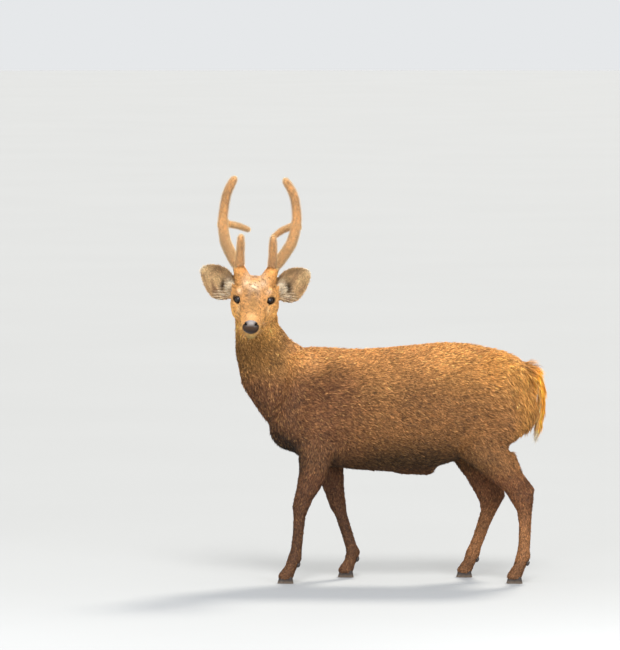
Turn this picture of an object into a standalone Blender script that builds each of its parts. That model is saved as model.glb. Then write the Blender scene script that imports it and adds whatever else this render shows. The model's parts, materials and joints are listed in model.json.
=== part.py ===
"""A hog deer stag in velvet, life-size, walking slowly with its head turned to its left.

Metres, +Z up. The floor is z = 0, the stag looks along -X and its left side is towards -Y.
Flesh is built from chains of ellipsoids that are fused, smoothed and parted with thin cuts.
"""

import math

import bmesh
import bpy
from mathutils import Matrix, Vector
from mathutils.bvhtree import BVHTree

GAP = 0.0003
FLESH_VOXEL = 0.0034
FLESH_SMOOTHING = 7
TRUNK_VOXEL = 0.0050
TRUNK_SMOOTHING = 26
BODY_TRIANGLES = 3700
HEAD_VOXEL = 0.0018
SKULL_VOXEL = 0.0026
SKULL_SMOOTHING = 18
HEAD_TRIANGLES = 2700
ANTLER_TRIANGLES = 620
TAIL_TRIANGLES = 1100
ANTLER_LEAN = 0.036
ANTLER_TALL = 0.220
MOUTH_BACK = 0.085
MOUTH_LEVEL = -0.0455

# The first of these that a node's name holds gives its colour and roughness
LOOKS = {
    "claw": ("2B2320", 0.45),
    "eye": ("120C09", 0.08),
    "nose": ("25201F", 0.30),
    "antler": ("B9804F", 0.85),
    "ear": ("A08663", 0.85),
    "head": ("B9813F", 0.85),
    "neck": ("8C5E34", 0.90),
    "torso": ("84552F", 0.90),
    "tail": ("A8713C", 0.90),
    "upper": ("694229", 0.90),
    "lower": ("5A3A27", 0.90),
}
LEFT, RIGHT = 1, -1
SIDES = {"left": LEFT, "right": RIGHT}

# The head's own frame: forward, to the stag's left, up, from the point midway between the eyes
EYES_MIDDLE = Vector((-0.3415, -0.115, 0.813))
HEAD_YAW = math.radians(-3.0)
HEAD_PITCH = math.radians(18.0)
HEAD_ROLL = math.radians(2.0)
HEAD_FRAME = (
    Matrix.Translation(EYES_MIDDLE)
    @ Matrix.Rotation(HEAD_YAW, 4, "Z")
    @ Matrix.Rotation(HEAD_PITCH, 4, "X")
    @ Matrix.Rotation(HEAD_ROLL, 4, "Y")
)

# Torso sections: x, top, bottom, half width
TORSO = [
    (-0.262, 0.600, 0.395, 0.060),
    (-0.235, 0.650, 0.368, 0.085),
    (-0.190, 0.672, 0.343, 0.104),
    (-0.130, 0.670, 0.326, 0.115),
    (-0.050, 0.665, 0.317, 0.121),
    (0.050, 0.671, 0.311, 0.127),
    (0.130, 0.679, 0.312, 0.128),
    (0.200, 0.685, 0.332, 0.125),
    (0.270, 0.681, 0.355, 0.122),
    (0.340, 0.666, 0.385, 0.115),
    (0.400, 0.646, 0.415, 0.100),
    (0.430, 0.622, 0.447, 0.076),
    (0.442, 0.592, 0.485, 0.050),
]
TORSO_RING = 0.020

# Chains and single masses in the body's frame: x, y, z, then the radii along x, y, z
NECK = [
    (-0.200, 0.000, 0.520, 0.135, 0.085, 0.110),
    (-0.262, 0.000, 0.585, 0.122, 0.076, 0.090),
    (-0.309, -0.002, 0.650, 0.088, 0.068, 0.070),
    (-0.334, -0.008, 0.715, 0.064, 0.062, 0.060),
    (-0.337, -0.014, 0.775, 0.061, 0.058, 0.050),
    (-0.338, -0.032, 0.815, 0.050, 0.050, 0.040),
]
BRISKET = (-0.232, 0.000, 0.438, 0.070, 0.062, 0.068)
SHEATH = [
    (0.080, 0.000, 0.318, 0.030, 0.024, 0.014),
    (0.152, 0.000, 0.316, 0.024, 0.020, 0.016),
]
TAIL = [
    (0.434, 0.000, 0.606, 0.026, 0.026, 0.022),
    (0.462, 0.000, 0.590, 0.018, 0.025, 0.024),
    (0.4790, 0.000, 0.545, 0.0125, 0.027, 0.026),
    (0.4780, 0.000, 0.495, 0.0135, 0.026, 0.026),
    (0.4715, 0.000, 0.450, 0.0125, 0.020, 0.022),
    (0.4650, 0.000, 0.420, 0.0080, 0.011, 0.014),
]
# Flat tapered locks of the tail: across it, height of the root, length, how far the tip stands out
TAIL_LOCKS = [
    (-0.022, 0.535, 0.050, 0.004),
    (0.022, 0.530, 0.050, 0.004),
    (-0.010, 0.515, 0.052, 0.006),
    (0.011, 0.508, 0.052, 0.006),
    (-0.021, 0.490, 0.048, 0.003),
    (0.021, 0.484, 0.048, 0.003),
    (0.000, 0.480, 0.050, 0.006),
    (-0.015, 0.455, 0.046, 0.002),
    (0.014, 0.450, 0.044, 0.002),
    (-0.005, 0.440, 0.046, 0.001),
    (0.005, 0.432, 0.044, 0.000),
]
LOCK = (0.0030, 0.0080, 0.0140)
TAIL_FACE = Vector((0.88, 0.0, 0.475))
TAIL_FACE_REACH = 0.679
TAIL_FACE_LOW = 0.553
TAIL_FACE_HEIGHT = 0.110

# Each leg from its girdle down to the band above the claws. The left legs are given towards +y and flipped later.
FORE_LEFT = {
    "girdle": [
        (-0.205, 0.056, 0.620, 0.045, 0.032, 0.045),
        (-0.245, 0.066, 0.470, 0.048, 0.044, 0.055),
        (-0.170, 0.078, 0.390, 0.052, 0.036, 0.045),
    ],
    "muscle": [(-0.175, 0.074, 0.460, 0.075, 0.044, 0.085)],
    "shank": [
        (-0.165, 0.080, 0.375, 0.055, 0.035, 0.045),
        (-0.174, 0.082, 0.314, 0.042, 0.029, 0.030),
        (-0.187, 0.082, 0.277, 0.034, 0.025, 0.026),
        (-0.200, 0.081, 0.247, 0.0275, 0.0225, 0.020),
        (-0.209, 0.080, 0.220, 0.0240, 0.0225, 0.021),
        (-0.213, 0.080, 0.192, 0.0175, 0.0170, 0.015),
        (-0.217, 0.079, 0.140, 0.0155, 0.0145, 0.020),
        (-0.222, 0.078, 0.095, 0.0160, 0.0150, 0.015),
        (-0.226, 0.078, 0.073, 0.0195, 0.0185, 0.018),
        (-0.238, 0.078, 0.045, 0.0165, 0.0185, 0.015),
        (-0.252, 0.078, 0.020, 0.0215, 0.0215, 0.014),
    ],
}
FORE_RIGHT = {
    "girdle": [
        (-0.190, 0.056, 0.620, 0.045, 0.032, 0.045),
        (-0.225, 0.066, 0.470, 0.048, 0.044, 0.055),
        (-0.145, 0.078, 0.390, 0.052, 0.036, 0.045),
    ],
    "muscle": [(-0.155, 0.074, 0.460, 0.075, 0.044, 0.085)],
    "shank": [
        (-0.135, 0.080, 0.375, 0.055, 0.035, 0.045),
        (-0.122, 0.082, 0.295, 0.037, 0.028, 0.030),
        (-0.113, 0.082, 0.250, 0.0285, 0.0240, 0.022),
        (-0.103, 0.081, 0.208, 0.0240, 0.0225, 0.021),
        (-0.094, 0.080, 0.182, 0.0175, 0.0170, 0.015),
        (-0.079, 0.079, 0.135, 0.0160, 0.0145, 0.020),
        (-0.066, 0.078, 0.092, 0.0165, 0.0150, 0.015),
        (-0.059, 0.078, 0.072, 0.0195, 0.0185, 0.018),
        (-0.068, 0.078, 0.044, 0.0165, 0.0185, 0.015),
        (-0.080, 0.078, 0.020, 0.0215, 0.0215, 0.014),
    ],
}
HIND_LEFT = {
    "girdle": [
        (0.350, 0.060, 0.580, 0.090, 0.045, 0.080),
        (0.350, 0.074, 0.470, 0.088, 0.048, 0.080),
        (0.285, 0.080, 0.385, 0.052, 0.036, 0.046),
    ],
    "muscle": [(0.420, 0.050, 0.500, 0.046, 0.042, 0.075)],
    "shank": [
        (0.325, 0.081, 0.365, 0.068, 0.037, 0.045),
        (0.372, 0.082, 0.312, 0.044, 0.028, 0.036),
        (0.403, 0.081, 0.276, 0.036, 0.023, 0.027),
        (0.420, 0.080, 0.247, 0.0350, 0.0215, 0.024),
        (0.428, 0.080, 0.212, 0.0225, 0.0185, 0.018),
        (0.430, 0.079, 0.170, 0.0180, 0.0155, 0.020),
        (0.4285, 0.078, 0.118, 0.0170, 0.0150, 0.020),
        (0.4265, 0.078, 0.098, 0.0175, 0.0160, 0.014),
        (0.4255, 0.078, 0.080, 0.0205, 0.0190, 0.019),
        (0.414, 0.078, 0.048, 0.0170, 0.0185, 0.015),
        (0.400, 0.078, 0.020, 0.0215, 0.0215, 0.014),
    ],
    "hamstring": [
        (0.390, 0.080, 0.360, 0.016, 0.014, 0.020),
        (0.415, 0.081, 0.310, 0.010, 0.010, 0.012),
        (0.444, 0.080, 0.268, 0.012, 0.0125, 0.014),
        (0.438, 0.080, 0.215, 0.010, 0.011, 0.014),
    ],
}
HIND_RIGHT = {
    "girdle": [
        (0.340, 0.060, 0.580, 0.090, 0.045, 0.080),
        (0.325, 0.074, 0.470, 0.088, 0.048, 0.080),
        (0.255, 0.080, 0.380, 0.050, 0.036, 0.046),
    ],
    "muscle": [(0.420, 0.050, 0.500, 0.046, 0.042, 0.075)],
    "shank": [
        (0.285, 0.081, 0.355, 0.066, 0.037, 0.045),
        (0.309, 0.082, 0.295, 0.044, 0.028, 0.036),
        (0.326, 0.081, 0.255, 0.038, 0.023, 0.027),
        (0.337, 0.080, 0.224, 0.0340, 0.0215, 0.024),
        (0.331, 0.080, 0.192, 0.0225, 0.0185, 0.018),
        (0.317, 0.079, 0.155, 0.0180, 0.0155, 0.020),
        (0.302, 0.078, 0.112, 0.0170, 0.0150, 0.020),
        (0.293, 0.078, 0.090, 0.0175, 0.0160, 0.014),
        (0.287, 0.078, 0.072, 0.0205, 0.0190, 0.019),
        (0.276, 0.078, 0.044, 0.0170, 0.0185, 0.015),
        (0.262, 0.078, 0.020, 0.0215, 0.0215, 0.014),
    ],
    "hamstring": [
        (0.350, 0.080, 0.345, 0.016, 0.014, 0.020),
        (0.357, 0.081, 0.285, 0.010, 0.010, 0.012),
        (0.366, 0.080, 0.238, 0.0125, 0.0125, 0.014),
        (0.342, 0.080, 0.190, 0.010, 0.011, 0.014),
    ],
}
LEGS = {
    "foreleg_left": (FORE_LEFT, LEFT),
    "foreleg_right": (FORE_RIGHT, RIGHT),
    "hindleg_left": (HIND_LEFT, LEFT),
    "hindleg_right": (HIND_RIGHT, RIGHT),
}

# Head masses in the head's frame: forward, left, up, then the radii along them
SKULL = [
    (-0.085, 0.0, -0.0075, 0.020, 0.045, 0.0425),
    (-0.055, 0.0, -0.0050, 0.020, 0.057, 0.0570),
    (-0.022, 0.0, -0.0090, 0.020, 0.058, 0.0590),
    (0.010, 0.0, -0.0155, 0.020, 0.048, 0.0535),
    (0.045, 0.0, -0.0220, 0.020, 0.040, 0.0440),
    (0.080, 0.0, -0.0270, 0.020, 0.033, 0.0360),
    (0.115, 0.0, -0.0310, 0.018, 0.0285, 0.0310),
    (0.136, 0.0, -0.0320, 0.016, 0.0265, 0.0270),
]
NOSE_END = (0.143, 0.0, -0.025, 0.017, 0.0260, 0.0200)
CHIN = (0.125, 0.0, -0.056, 0.020, 0.0170, 0.0110)
CHEEK = [
    (-0.034, 0.047, -0.028, 0.030, 0.023, 0.036),
    (-0.008, 0.044, -0.034, 0.030, 0.021, 0.031),
    (0.040, 0.024, -0.034, 0.030, 0.016, 0.024),
]
ORBIT = (-0.022, 0.048, 0.000, 0.028, 0.021, 0.022)
BROW = (-0.012, 0.038, 0.021, 0.024, 0.016, 0.012)
PEDICLE = [
    (-0.050, 0.032, 0.036, 0.026, 0.024, 0.024),
    (-0.0773, 0.051, 0.0712, 0.0165, 0.0165, 0.010),
]
CORONET = Vector((-0.0750, 0.0494, 0.0682))
EAR_STUB = [
    (-0.058, 0.046, -0.004, 0.020, 0.020, 0.024),
    (-0.079, 0.0690, 0.004, 0.012, 0.014, 0.017),
]
EAR_ROOT_LEFT_OF_MIDDLE = 0.0675

EYE = Vector((-0.0055, 0.0390, 0.0))
EYE_RADIUS = 0.0170
LID = 0.0032
GAZE_OUT = math.radians(29.0)
LID_OPENING = (0.0295, 0.0215)
NOSE_PAD = (0.158, 0.0, -0.022, 0.020, 0.0245, 0.0245)
NOSTRIL = (0.1515, 0.0165, -0.0130, 0.0100, 0.0032, 0.0055)

# The ear is a cupped leaf: distance along it, the two edges off its middle line, depth of the cup
EAR_BASE = (-0.0608, 0.050, -0.0095)
EAR_LEAF = [
    (0.004, -0.018, 0.014, 0.014),
    (0.015, -0.034, 0.023, 0.022),
    (0.030, -0.0465, 0.030, 0.028),
    (0.050, -0.0520, 0.0355, 0.029),
    (0.070, -0.0465, 0.0370, 0.024),
    (0.090, -0.0370, 0.0320, 0.016),
    (0.105, -0.0270, 0.0220, 0.010),
    (0.116, -0.0180, 0.0115, 0.006),
    (0.123, -0.0100, 0.0010, 0.003),
]
EAR_THICKNESS = 0.0040

# Antler stations in the head's frame: forward, left, up, radius
BEAM = [
    (-0.0700, 0.0455, 0.0620, 0.0158),
    (-0.0780, 0.0515, 0.0715, 0.0158),
    (-0.0939, 0.0650, 0.0829, 0.0155),
    (-0.1185, 0.0810, 0.1010, 0.0153),
    (-0.1395, 0.0940, 0.1184, 0.0150),
    (-0.1611, 0.1010, 0.1398, 0.0148),
    (-0.1776, 0.1050, 0.1619, 0.0146),
    (-0.1886, 0.1056, 0.1811, 0.0140),
    (-0.1983, 0.1025, 0.2078, 0.0134),
    (-0.2034, 0.0980, 0.2338, 0.0129),
    (-0.2050, 0.0900, 0.2560, 0.0123),
    (-0.2038, 0.0795, 0.2760, 0.0113),
    (-0.2027, 0.0745, 0.2845, 0.0104),
]
BROW_TINE = [
    (-0.0700, 0.0470, 0.0660, 0.0140),
    (-0.0670, 0.0468, 0.0850, 0.0130),
    (-0.0635, 0.0465, 0.1092, 0.0115),
    (-0.0581, 0.0460, 0.1437, 0.0110),
    (-0.0539, 0.0456, 0.1665, 0.0092),
]
INNER_TINE = {
    "left": [
        (-0.1771, 0.1050, 0.1608, 0.0105),
        (-0.1912, 0.0856, 0.1503, 0.0090),
        (-0.2066, 0.0620, 0.1322, 0.0090),
        (-0.2165, 0.0410, 0.1098, 0.0076),
    ],
    "right": [
        (-0.1771, 0.1050, 0.1608, 0.0105),
        (-0.1920, 0.0856, 0.1522, 0.0090),
        (-0.2100, 0.0600, 0.1406, 0.0090),
        (-0.2233, 0.0350, 0.1262, 0.0078),
    ],
}
BROW_TINE_CUT = (-0.0630, 0.0465, 0.1120)
BEAM_CUT = (-0.1925, 0.1050, 0.1905)

# Claws: where the toe's tip is, its height at the heel and at the toe, the foot's middle line
CLAW_LENGTH = 0.046
CLAW_WIDTH = 0.0172
CLAW_HEEL_HEIGHT = 0.015
CLAW_TOE_HEIGHT = 0.036
CLAW_TOP_LENGTH = 0.034
TOES = {
    "foreleg_left": -0.276,
    "foreleg_right": -0.103,
    "hindleg_left": 0.377,
    "hindleg_right": 0.238,
}
FOOT_OUT = 0.078
CLAW_OUTLINE = [
    (0.00, 0.30),
    (0.10, 0.82),
    (0.32, 1.00),
    (0.58, 0.92),
    (0.78, 0.66),
    (0.92, 0.28),
    (1.00, -0.40),
    (0.94, -0.80),
    (0.70, -0.95),
    (0.40, -1.00),
    (0.12, -0.90),
    (0.00, -0.40),
]
CLAW_RINGS = [(0.0, 0.94), (0.06, 1.0), (0.50, 1.03), (1.0, 1.0)]
DEWCLAW = (0.0075, 0.0062, 0.0095)
DEWCLAW_SPREAD = 0.0115
DEWCLAWS = {
    "foreleg_left": (-0.2135, 0.053),
    "foreleg_right": (-0.0440, 0.052),
    "hindleg_left": (0.4400, 0.058),
    "hindleg_right": (0.3010, 0.051),
}
LOWER_LEG_TOP = {
    "foreleg_left": (-0.2135, 0.188),
    "foreleg_right": (-0.0950, 0.176),
    "hindleg_left": (0.4310, 0.202),
    "hindleg_right": (0.3290, 0.182),
}
LEG_TOP = {
    "foreleg_left": (-0.185, 0.26),
    "foreleg_right": (-0.135, 0.25),
    "hindleg_left": (0.335, 0.26),
    "hindleg_right": (0.305, 0.26),
}
LEG_TOP_INSIDE = (0.044, 0.331)
LEG_TOP_RISE = math.radians(38.0)
NECK_CUT = (Vector((-0.270, 0.0, 0.649)), Vector((-0.66, 0.0, 0.75)))
HEAD_CUT = (Vector((-0.337, -0.045, 0.758)), Vector((0.0, -0.55, 0.83)))


def matrix_in_body(x, y, z, rx, ry, rz, side=1):
    """The matrix that makes a unit sphere that ellipsoid of the body."""
    return Matrix.Translation((x, y * side, z)) @ Matrix.Diagonal((rx, ry, rz, 1))


def matrix_in_head(forward, left, up, rf, rl, ru, side=1):
    """The same in the head's frame."""
    centre = Matrix.Translation((left * side, -forward, up))
    return HEAD_FRAME @ centre @ Matrix.Diagonal((rl, rf, ru, 1))


def head_point(forward, left, up):
    return HEAD_FRAME @ Vector((left, -forward, up))


def head_direction(forward, left, up):
    return (HEAD_FRAME.to_3x3() @ Vector((left, -forward, up))).normalized()


def add_mass(bm, matrix, segments=16, rings=10):
    bmesh.ops.create_uvsphere(bm, u_segments=segments, v_segments=rings, radius=1, matrix=matrix)


def add_chain(bm, matrices, segments=16, rings=10):
    """Ellipsoids in a row, with the hull of each two neighbours."""
    for pair in zip(matrices, matrices[1:]):
        link = bmesh.new()
        for matrix in pair:
            add_mass(link, matrix, segments, rings)
        made = bmesh.ops.convex_hull(link, input=link.verts)
        inner = {v for v in made["geom_interior"] if isinstance(v, bmesh.types.BMVert)}
        bmesh.ops.delete(link, geom=list(inner), context="VERTS")
        mesh = bpy.data.meshes.new("link")
        link.to_mesh(mesh)
        link.free()
        bm.from_mesh(mesh)
        bpy.data.meshes.remove(mesh)


def new_object(name, bm):
    mesh = bpy.data.meshes.new(name)
    bm.to_mesh(mesh)
    bm.free()
    made = bpy.data.objects.new(name, mesh)
    bpy.context.scene.collection.objects.link(made)
    return made


def apply_modifiers(obj):
    graph = bpy.context.evaluated_depsgraph_get()
    mesh = bpy.data.meshes.new_from_object(obj.evaluated_get(graph))
    obj.modifiers.clear()
    old = obj.data
    obj.data = mesh
    bpy.data.meshes.remove(old)
    return obj


def fuse(obj, voxel, smoothing, triangles=0):
    """One closed smooth surface from overlapping masses, with about that many triangles."""
    remesh = obj.modifiers.new("fuse", "REMESH")
    remesh.mode = "VOXEL"
    remesh.voxel_size = voxel
    smooth = obj.modifiers.new("smooth", "SMOOTH")
    smooth.factor = 0.5
    smooth.iterations = smoothing
    apply_modifiers(obj)
    return thin_out(obj, triangles) if triangles else obj


def fused_base(add_masses, voxel, smoothing):
    """A bmesh that starts with the strongly blended surface of some masses."""
    bm = bmesh.new()
    add_masses(bm)
    base = fuse(new_object("base", bm), voxel, smoothing)
    bm = bmesh.new()
    bm.from_mesh(base.data)
    bpy.data.objects.remove(base)
    return bm


def thin_out(obj, triangles):
    count = sum(len(face.vertices) - 2 for face in obj.data.polygons)
    decimate = obj.modifiers.new("thin out", "DECIMATE")
    decimate.ratio = min(1.0, triangles / count)
    return apply_modifiers(obj)


def trim(obj, cutter, operation="DIFFERENCE"):
    boolean = obj.modifiers.new("trim", "BOOLEAN")
    boolean.operation = operation
    boolean.solver = "EXACT"
    boolean.object = cutter
    apply_modifiers(obj)
    bpy.data.objects.remove(cutter)
    return obj


def slab_matrix(centre, normal, along, length, width, thickness):
    """A box whose thin direction is the normal, and whose length lies along the third argument."""
    n = normal.normalized()
    a = (along - along.dot(n) * n).normalized()
    turn = Matrix((a, n.cross(a), n)).transposed().to_4x4()
    return Matrix.Translation(centre) @ turn @ Matrix.Diagonal((length, width, thickness, 1))


def block(name, *matrices):
    bm = bmesh.new()
    for matrix in matrices:
        bmesh.ops.create_cube(bm, size=1, matrix=matrix)
    return new_object(name, bm)


def half_space(name, centre, normal, along, length, width, depth):
    """A block that lies wholly on the side that the normal points to."""
    middle = centre + normal.normalized() * depth / 2
    return block(name, slab_matrix(middle, normal, along, length, width, depth))


def pieces_of(obj):
    """The loose pieces of a mesh, each as lists of points and faces, the largest first."""
    bm = bmesh.new()
    bm.from_mesh(obj.data)
    left = set(bm.verts)
    pieces = []
    while left:
        heap = [left.pop()]
        found = list(heap)
        while heap:
            for edge in heap.pop().link_edges:
                for vert in edge.verts:
                    if vert in left:
                        left.remove(vert)
                        heap.append(vert)
                        found.append(vert)
        number = {vert: n for n, vert in enumerate(found)}
        faces = {face for vert in found for face in vert.link_faces}
        faces = sorted(faces, key=lambda face: face.index)
        pieces.append(([v.co.copy() for v in found], [[number[v] for v in f.verts] for f in faces]))
    bm.free()
    return sorted(pieces, key=lambda piece: -len(piece[0]))


def split(obj, labels):
    """Makes one object of the largest loose piece nearest to each label's point."""
    middles = []
    pieces = pieces_of(obj)[: len(labels)]
    bpy.data.objects.remove(obj)
    for points, _ in pieces:
        middles.append(sum(points, Vector()) / len(points))
    made = {}
    for name, spot in labels.items():
        nearest = min(range(len(pieces)), key=lambda n: (middles[n] - spot).length)
        mesh = bpy.data.meshes.new(name)
        mesh.from_pydata(pieces[nearest][0], [], pieces[nearest][1])
        made[name] = bpy.data.objects.new(name, mesh)
        bpy.context.scene.collection.objects.link(made[name])
    return made


def trunk_masses(bm):
    rings = []
    for x, top, bottom, half in TORSO:
        rings.append(matrix_in_body(x, 0, (top + bottom) / 2, TORSO_RING, half, (top - bottom) / 2))
    add_chain(bm, rings, 24, 14)
    add_chain(bm, [matrix_in_body(*mass) for mass in NECK], 20, 12)
    add_chain(bm, [matrix_in_body(*mass) for mass in SHEATH])
    add_chain(bm, [matrix_in_body(*mass) for mass in TAIL[:2]])
    add_mass(bm, matrix_in_body(*BRISKET), 20, 12)
    for leg, side in LEGS.values():
        add_chain(bm, [matrix_in_body(*mass, -side) for mass in leg["girdle"]])
        add_chain(bm, [matrix_in_body(*mass, -side) for mass in leg["shank"][:3]])
        for mass in leg["muscle"]:
            add_mass(bm, matrix_in_body(*mass, -side), 20, 12)


def limb_masses(bm):
    for leg, side in LEGS.values():
        add_chain(bm, [matrix_in_body(*mass, -side) for mass in leg["shank"][1:]])
        if "hamstring" in leg:
            add_chain(bm, [matrix_in_body(*mass, -side) for mass in leg["hamstring"]])


def skull_masses(bm):
    add_chain(bm, [matrix_in_head(*mass) for mass in SKULL], 24, 14)
    add_chain(bm, [matrix_in_body(*mass) for mass in NECK[2:]], 20, 12)
    for side in (LEFT, RIGHT):
        for mass in (ORBIT, BROW):
            add_mass(bm, matrix_in_head(*mass, side), 20, 12)
        add_chain(bm, [matrix_in_head(*mass, side) for mass in CHEEK])
        add_chain(bm, [matrix_in_head(*mass, side) for mass in PEDICLE])


def head_masses(bm):
    add_mass(bm, matrix_in_head(*NOSE_END))
    add_mass(bm, matrix_in_head(*CHIN))
    for side in (LEFT, RIGHT):
        lid = EYE_RADIUS + LID
        add_mass(bm, matrix_in_head(*EYE, lid, lid, lid, side), 24, 16)
        add_chain(bm, [matrix_in_head(*mass, side) for mass in PEDICLE])
        add_chain(bm, [matrix_in_head(*mass, side) for mass in EAR_STUB])
        add_ear(bm, side)


def add_ear(bm, side):
    """The cupped leaf as a closed sheet, seen edge on along the line of sight that the head faces."""
    tilt = math.radians(-22)
    rise = math.radians(37)
    columns = 12
    sheets = ([], [])
    for along, low, high, depth in EAR_LEAF:
        rows = ([], [])
        for n in range(columns + 1):
            across = -1 + 2 * n / columns
            off = (low + high) / 2 + across * (high - low) / 2
            back = depth * (1 - abs(across) ** 2.2)
            lateral = along * math.cos(rise) - off * math.sin(rise)
            vertical = along * math.sin(rise) + off * math.cos(rise)
            for row, extra in zip(rows, (0.0, EAR_THICKNESS)):
                spread = 1 + extra * 4 * abs(across)
                toward = 0.010 - back - extra + 0.22 * along
                forward = toward * math.cos(tilt) + vertical * math.sin(tilt)
                up = -toward * math.sin(tilt) + vertical * math.cos(tilt)
                point = (EAR_BASE[0] + forward, EAR_BASE[1] + lateral * spread, EAR_BASE[2] + up)
                row.append(bm.verts.new(head_point(point[0], point[1] * side, point[2])))
        for sheet, row in zip(sheets, rows):
            sheet.append(row)
    last = len(EAR_LEAF) - 1
    for sheet in sheets:
        for m in range(last):
            for n in range(columns):
                bm.faces.new((sheet[m][n], sheet[m + 1][n], sheet[m + 1][n + 1], sheet[m][n + 1]))
    inner, outer = sheets
    for m in range(last):
        for n in (0, columns):
            bm.faces.new((inner[m][n], inner[m + 1][n], outer[m + 1][n], outer[m][n]))
    for m in (0, last):
        for n in range(columns):
            bm.faces.new((inner[m][n], inner[m][n + 1], outer[m][n + 1], outer[m][n]))


def build_body():
    bm = fused_base(trunk_masses, TRUNK_VOXEL, TRUNK_SMOOTHING)
    limb_masses(bm)
    body = fuse(new_object("body", bm), FLESH_VOXEL, FLESH_SMOOTHING, BODY_TRIANGLES)
    slabs = []
    labels = {"torso": Vector((0.10, 0, 0.50)), "neck": Vector((-0.31, 0, 0.66))}
    across = Vector((0, 1, 0))
    forward = Vector((1, 0, 0))
    slabs.append(slab_matrix(*NECK_CUT, across, 0.30, 0.40, GAP))
    for name, (leg, side) in LEGS.items():
        y = -side * FOOT_OUT
        x, length = LEG_TOP[name]
        lie = Vector((0, -side * math.cos(LEG_TOP_RISE), math.sin(LEG_TOP_RISE)))
        inside = Vector((x, -side * LEG_TOP_INSIDE[0], LEG_TOP_INSIDE[1]))
        facing = Vector((0, side * math.sin(LEG_TOP_RISE), math.cos(LEG_TOP_RISE)))
        slabs.append(slab_matrix(inside + 0.035 * lie, facing, forward, length, 0.145, GAP))
        x, z = LOWER_LEG_TOP[name]
        slabs.append(slab_matrix(Vector((x, y, z)), Vector((0, 0, 1)), forward, 0.09, 0.07, GAP))
        labels[name + "_upper"] = Vector((leg["shank"][1][0], y, 0.29))
        labels[name + "_lower"] = Vector((leg["shank"][-4][0], y, 0.10))
    trim(body, block("slabs", *slabs))
    for name, (_, side) in LEGS.items():
        heel = Vector((TOES[name] + CLAW_LENGTH, -side * FOOT_OUT, CLAW_HEEL_HEIGHT))
        rise = (CLAW_TOE_HEIGHT - CLAW_HEEL_HEIGHT) / CLAW_TOP_LENGTH
        down = Vector((-rise, 0, -1))
        below = heel + Vector((-0.02, 0, 0.02 * rise)) - down.normalized() * GAP
        trim(body, half_space("below", below, down, forward, 0.12, 0.07, 0.05))
        for spot in dewclaw_spots(name, side):
            pocket = bmesh.new()
            add_mass(pocket, dewclaw_matrix(spot, GAP), 8, 6)
            trim(body, new_object("pocket", pocket))
    head_side, facing = HEAD_CUT
    trim(body, half_space("above", head_side, facing, across, 0.3, 0.3, 0.2))
    trim(body, tail_face_block(1, 0.0))
    return split(body, labels)


def tail_face_block(sign, shift):
    """A block whose one face is where the tail parts from the rump, on the outer or the inner side of it."""
    out = TAIL_FACE.normalized()
    up = Vector((-out.z, 0, out.x))
    foot = out * (TAIL_FACE_REACH / TAIL_FACE.length + shift)
    low = (TAIL_FACE_LOW - foot.z) / up.z
    middle = foot + up * (low + TAIL_FACE_HEIGHT / 2)
    return half_space("tail root", middle, out * sign, up, TAIL_FACE_HEIGHT, 0.12, 0.08)


def dewclaw_matrix(spot, extra=0.0):
    lean = Matrix.Rotation(math.radians(25), 4, "Y")
    size = [radius + extra for radius in DEWCLAW]
    return Matrix.Translation(spot) @ lean @ Matrix.Diagonal((*size, 1))


def dewclaw_spots(name, side):
    x, z = DEWCLAWS[name]
    return [Vector((x, -side * FOOT_OUT + n * DEWCLAW_SPREAD, z)) for n in (-1, 1)]


def lock_matrices(number):
    """Three masses of one lock, from its root in the tail to its tip."""
    across, top, length, out = TAIL_LOCKS[number]
    heights = [mass[2] for mass in TAIL]
    matrices = []
    for t, grow in ((0.0, 1.0), (0.55, 0.8), (1.0, 0.30)):
        z = top - length * t
        after = next((n for n, height in enumerate(heights) if height < z), len(TAIL) - 1)
        low, high = TAIL[after], TAIL[after - 1]
        share = max(0.0, min(1.0, (z - low[2]) / (high[2] - low[2])))
        back, thick, wide = (low[k] + (high[k] - low[k]) * share for k in (0, 3, 4))
        bulge = math.sqrt(max(0.0, 1 - (across / wide) ** 2)) if abs(across) < wide else 0.0
        x = back + thick * bulge - 0.0015 + out * t**2
        y = across * (1 - 0.25 * t)
        size = (max(LOCK[0] * grow, 0.0017), LOCK[1] * grow, LOCK[2] * grow)
        matrices.append(matrix_in_body(x, y, z, *size))
    return matrices


def build_tail():
    bm = bmesh.new()
    add_chain(bm, [matrix_in_body(*mass) for mass in TAIL])
    for number in range(len(TAIL_LOCKS)):
        add_chain(bm, lock_matrices(number), 10, 6)
    tail = fuse(new_object("tail", bm), 0.0016, 3, TAIL_TRIANGLES)
    trim(tail, tail_face_block(-1, GAP))
    return split(tail, {"tail": Vector((0.48, 0, 0.50))})


def gaze(side):
    return head_direction(math.cos(GAZE_OUT), math.sin(GAZE_OUT) * side, 0.04)


def eye_point(side):
    return head_point(EYE.x, EYE.y * side, EYE.z)


def lid_opening(side):
    """An almond-shaped plug that opens the lids in front of the eye."""
    look = gaze(side)
    up = head_direction(0.10, 0.0, 1.0)
    up = (up - up.dot(look) * look).normalized()
    across = look.cross(up) * -side
    bm = bmesh.new()
    rings = []
    wide, high = LID_OPENING
    for out, grow in ((0.004, 0.80), (0.030, 1.25)):
        ring = []
        for n in range(20):
            turn = 2 * math.pi * n / 20
            x = math.cos(turn) * wide / 2
            y = math.copysign(abs(math.sin(turn)) ** 1.15, math.sin(turn)) * high / 2
            y += 0.0010 * math.sin(turn) ** 2 - x * 0.10
            ring.append(bm.verts.new(eye_point(side) + look * out + grow * (across * x + up * y)))
        rings.append(ring)
    for n in range(20):
        m = (n + 1) % 20
        bm.faces.new((rings[0][n], rings[0][m], rings[1][m], rings[1][n]))
    bm.faces.new(rings[0])
    bm.faces.new(rings[1])
    bmesh.ops.recalc_face_normals(bm, faces=bm.faces)
    return new_object("lid opening", bm)


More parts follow.
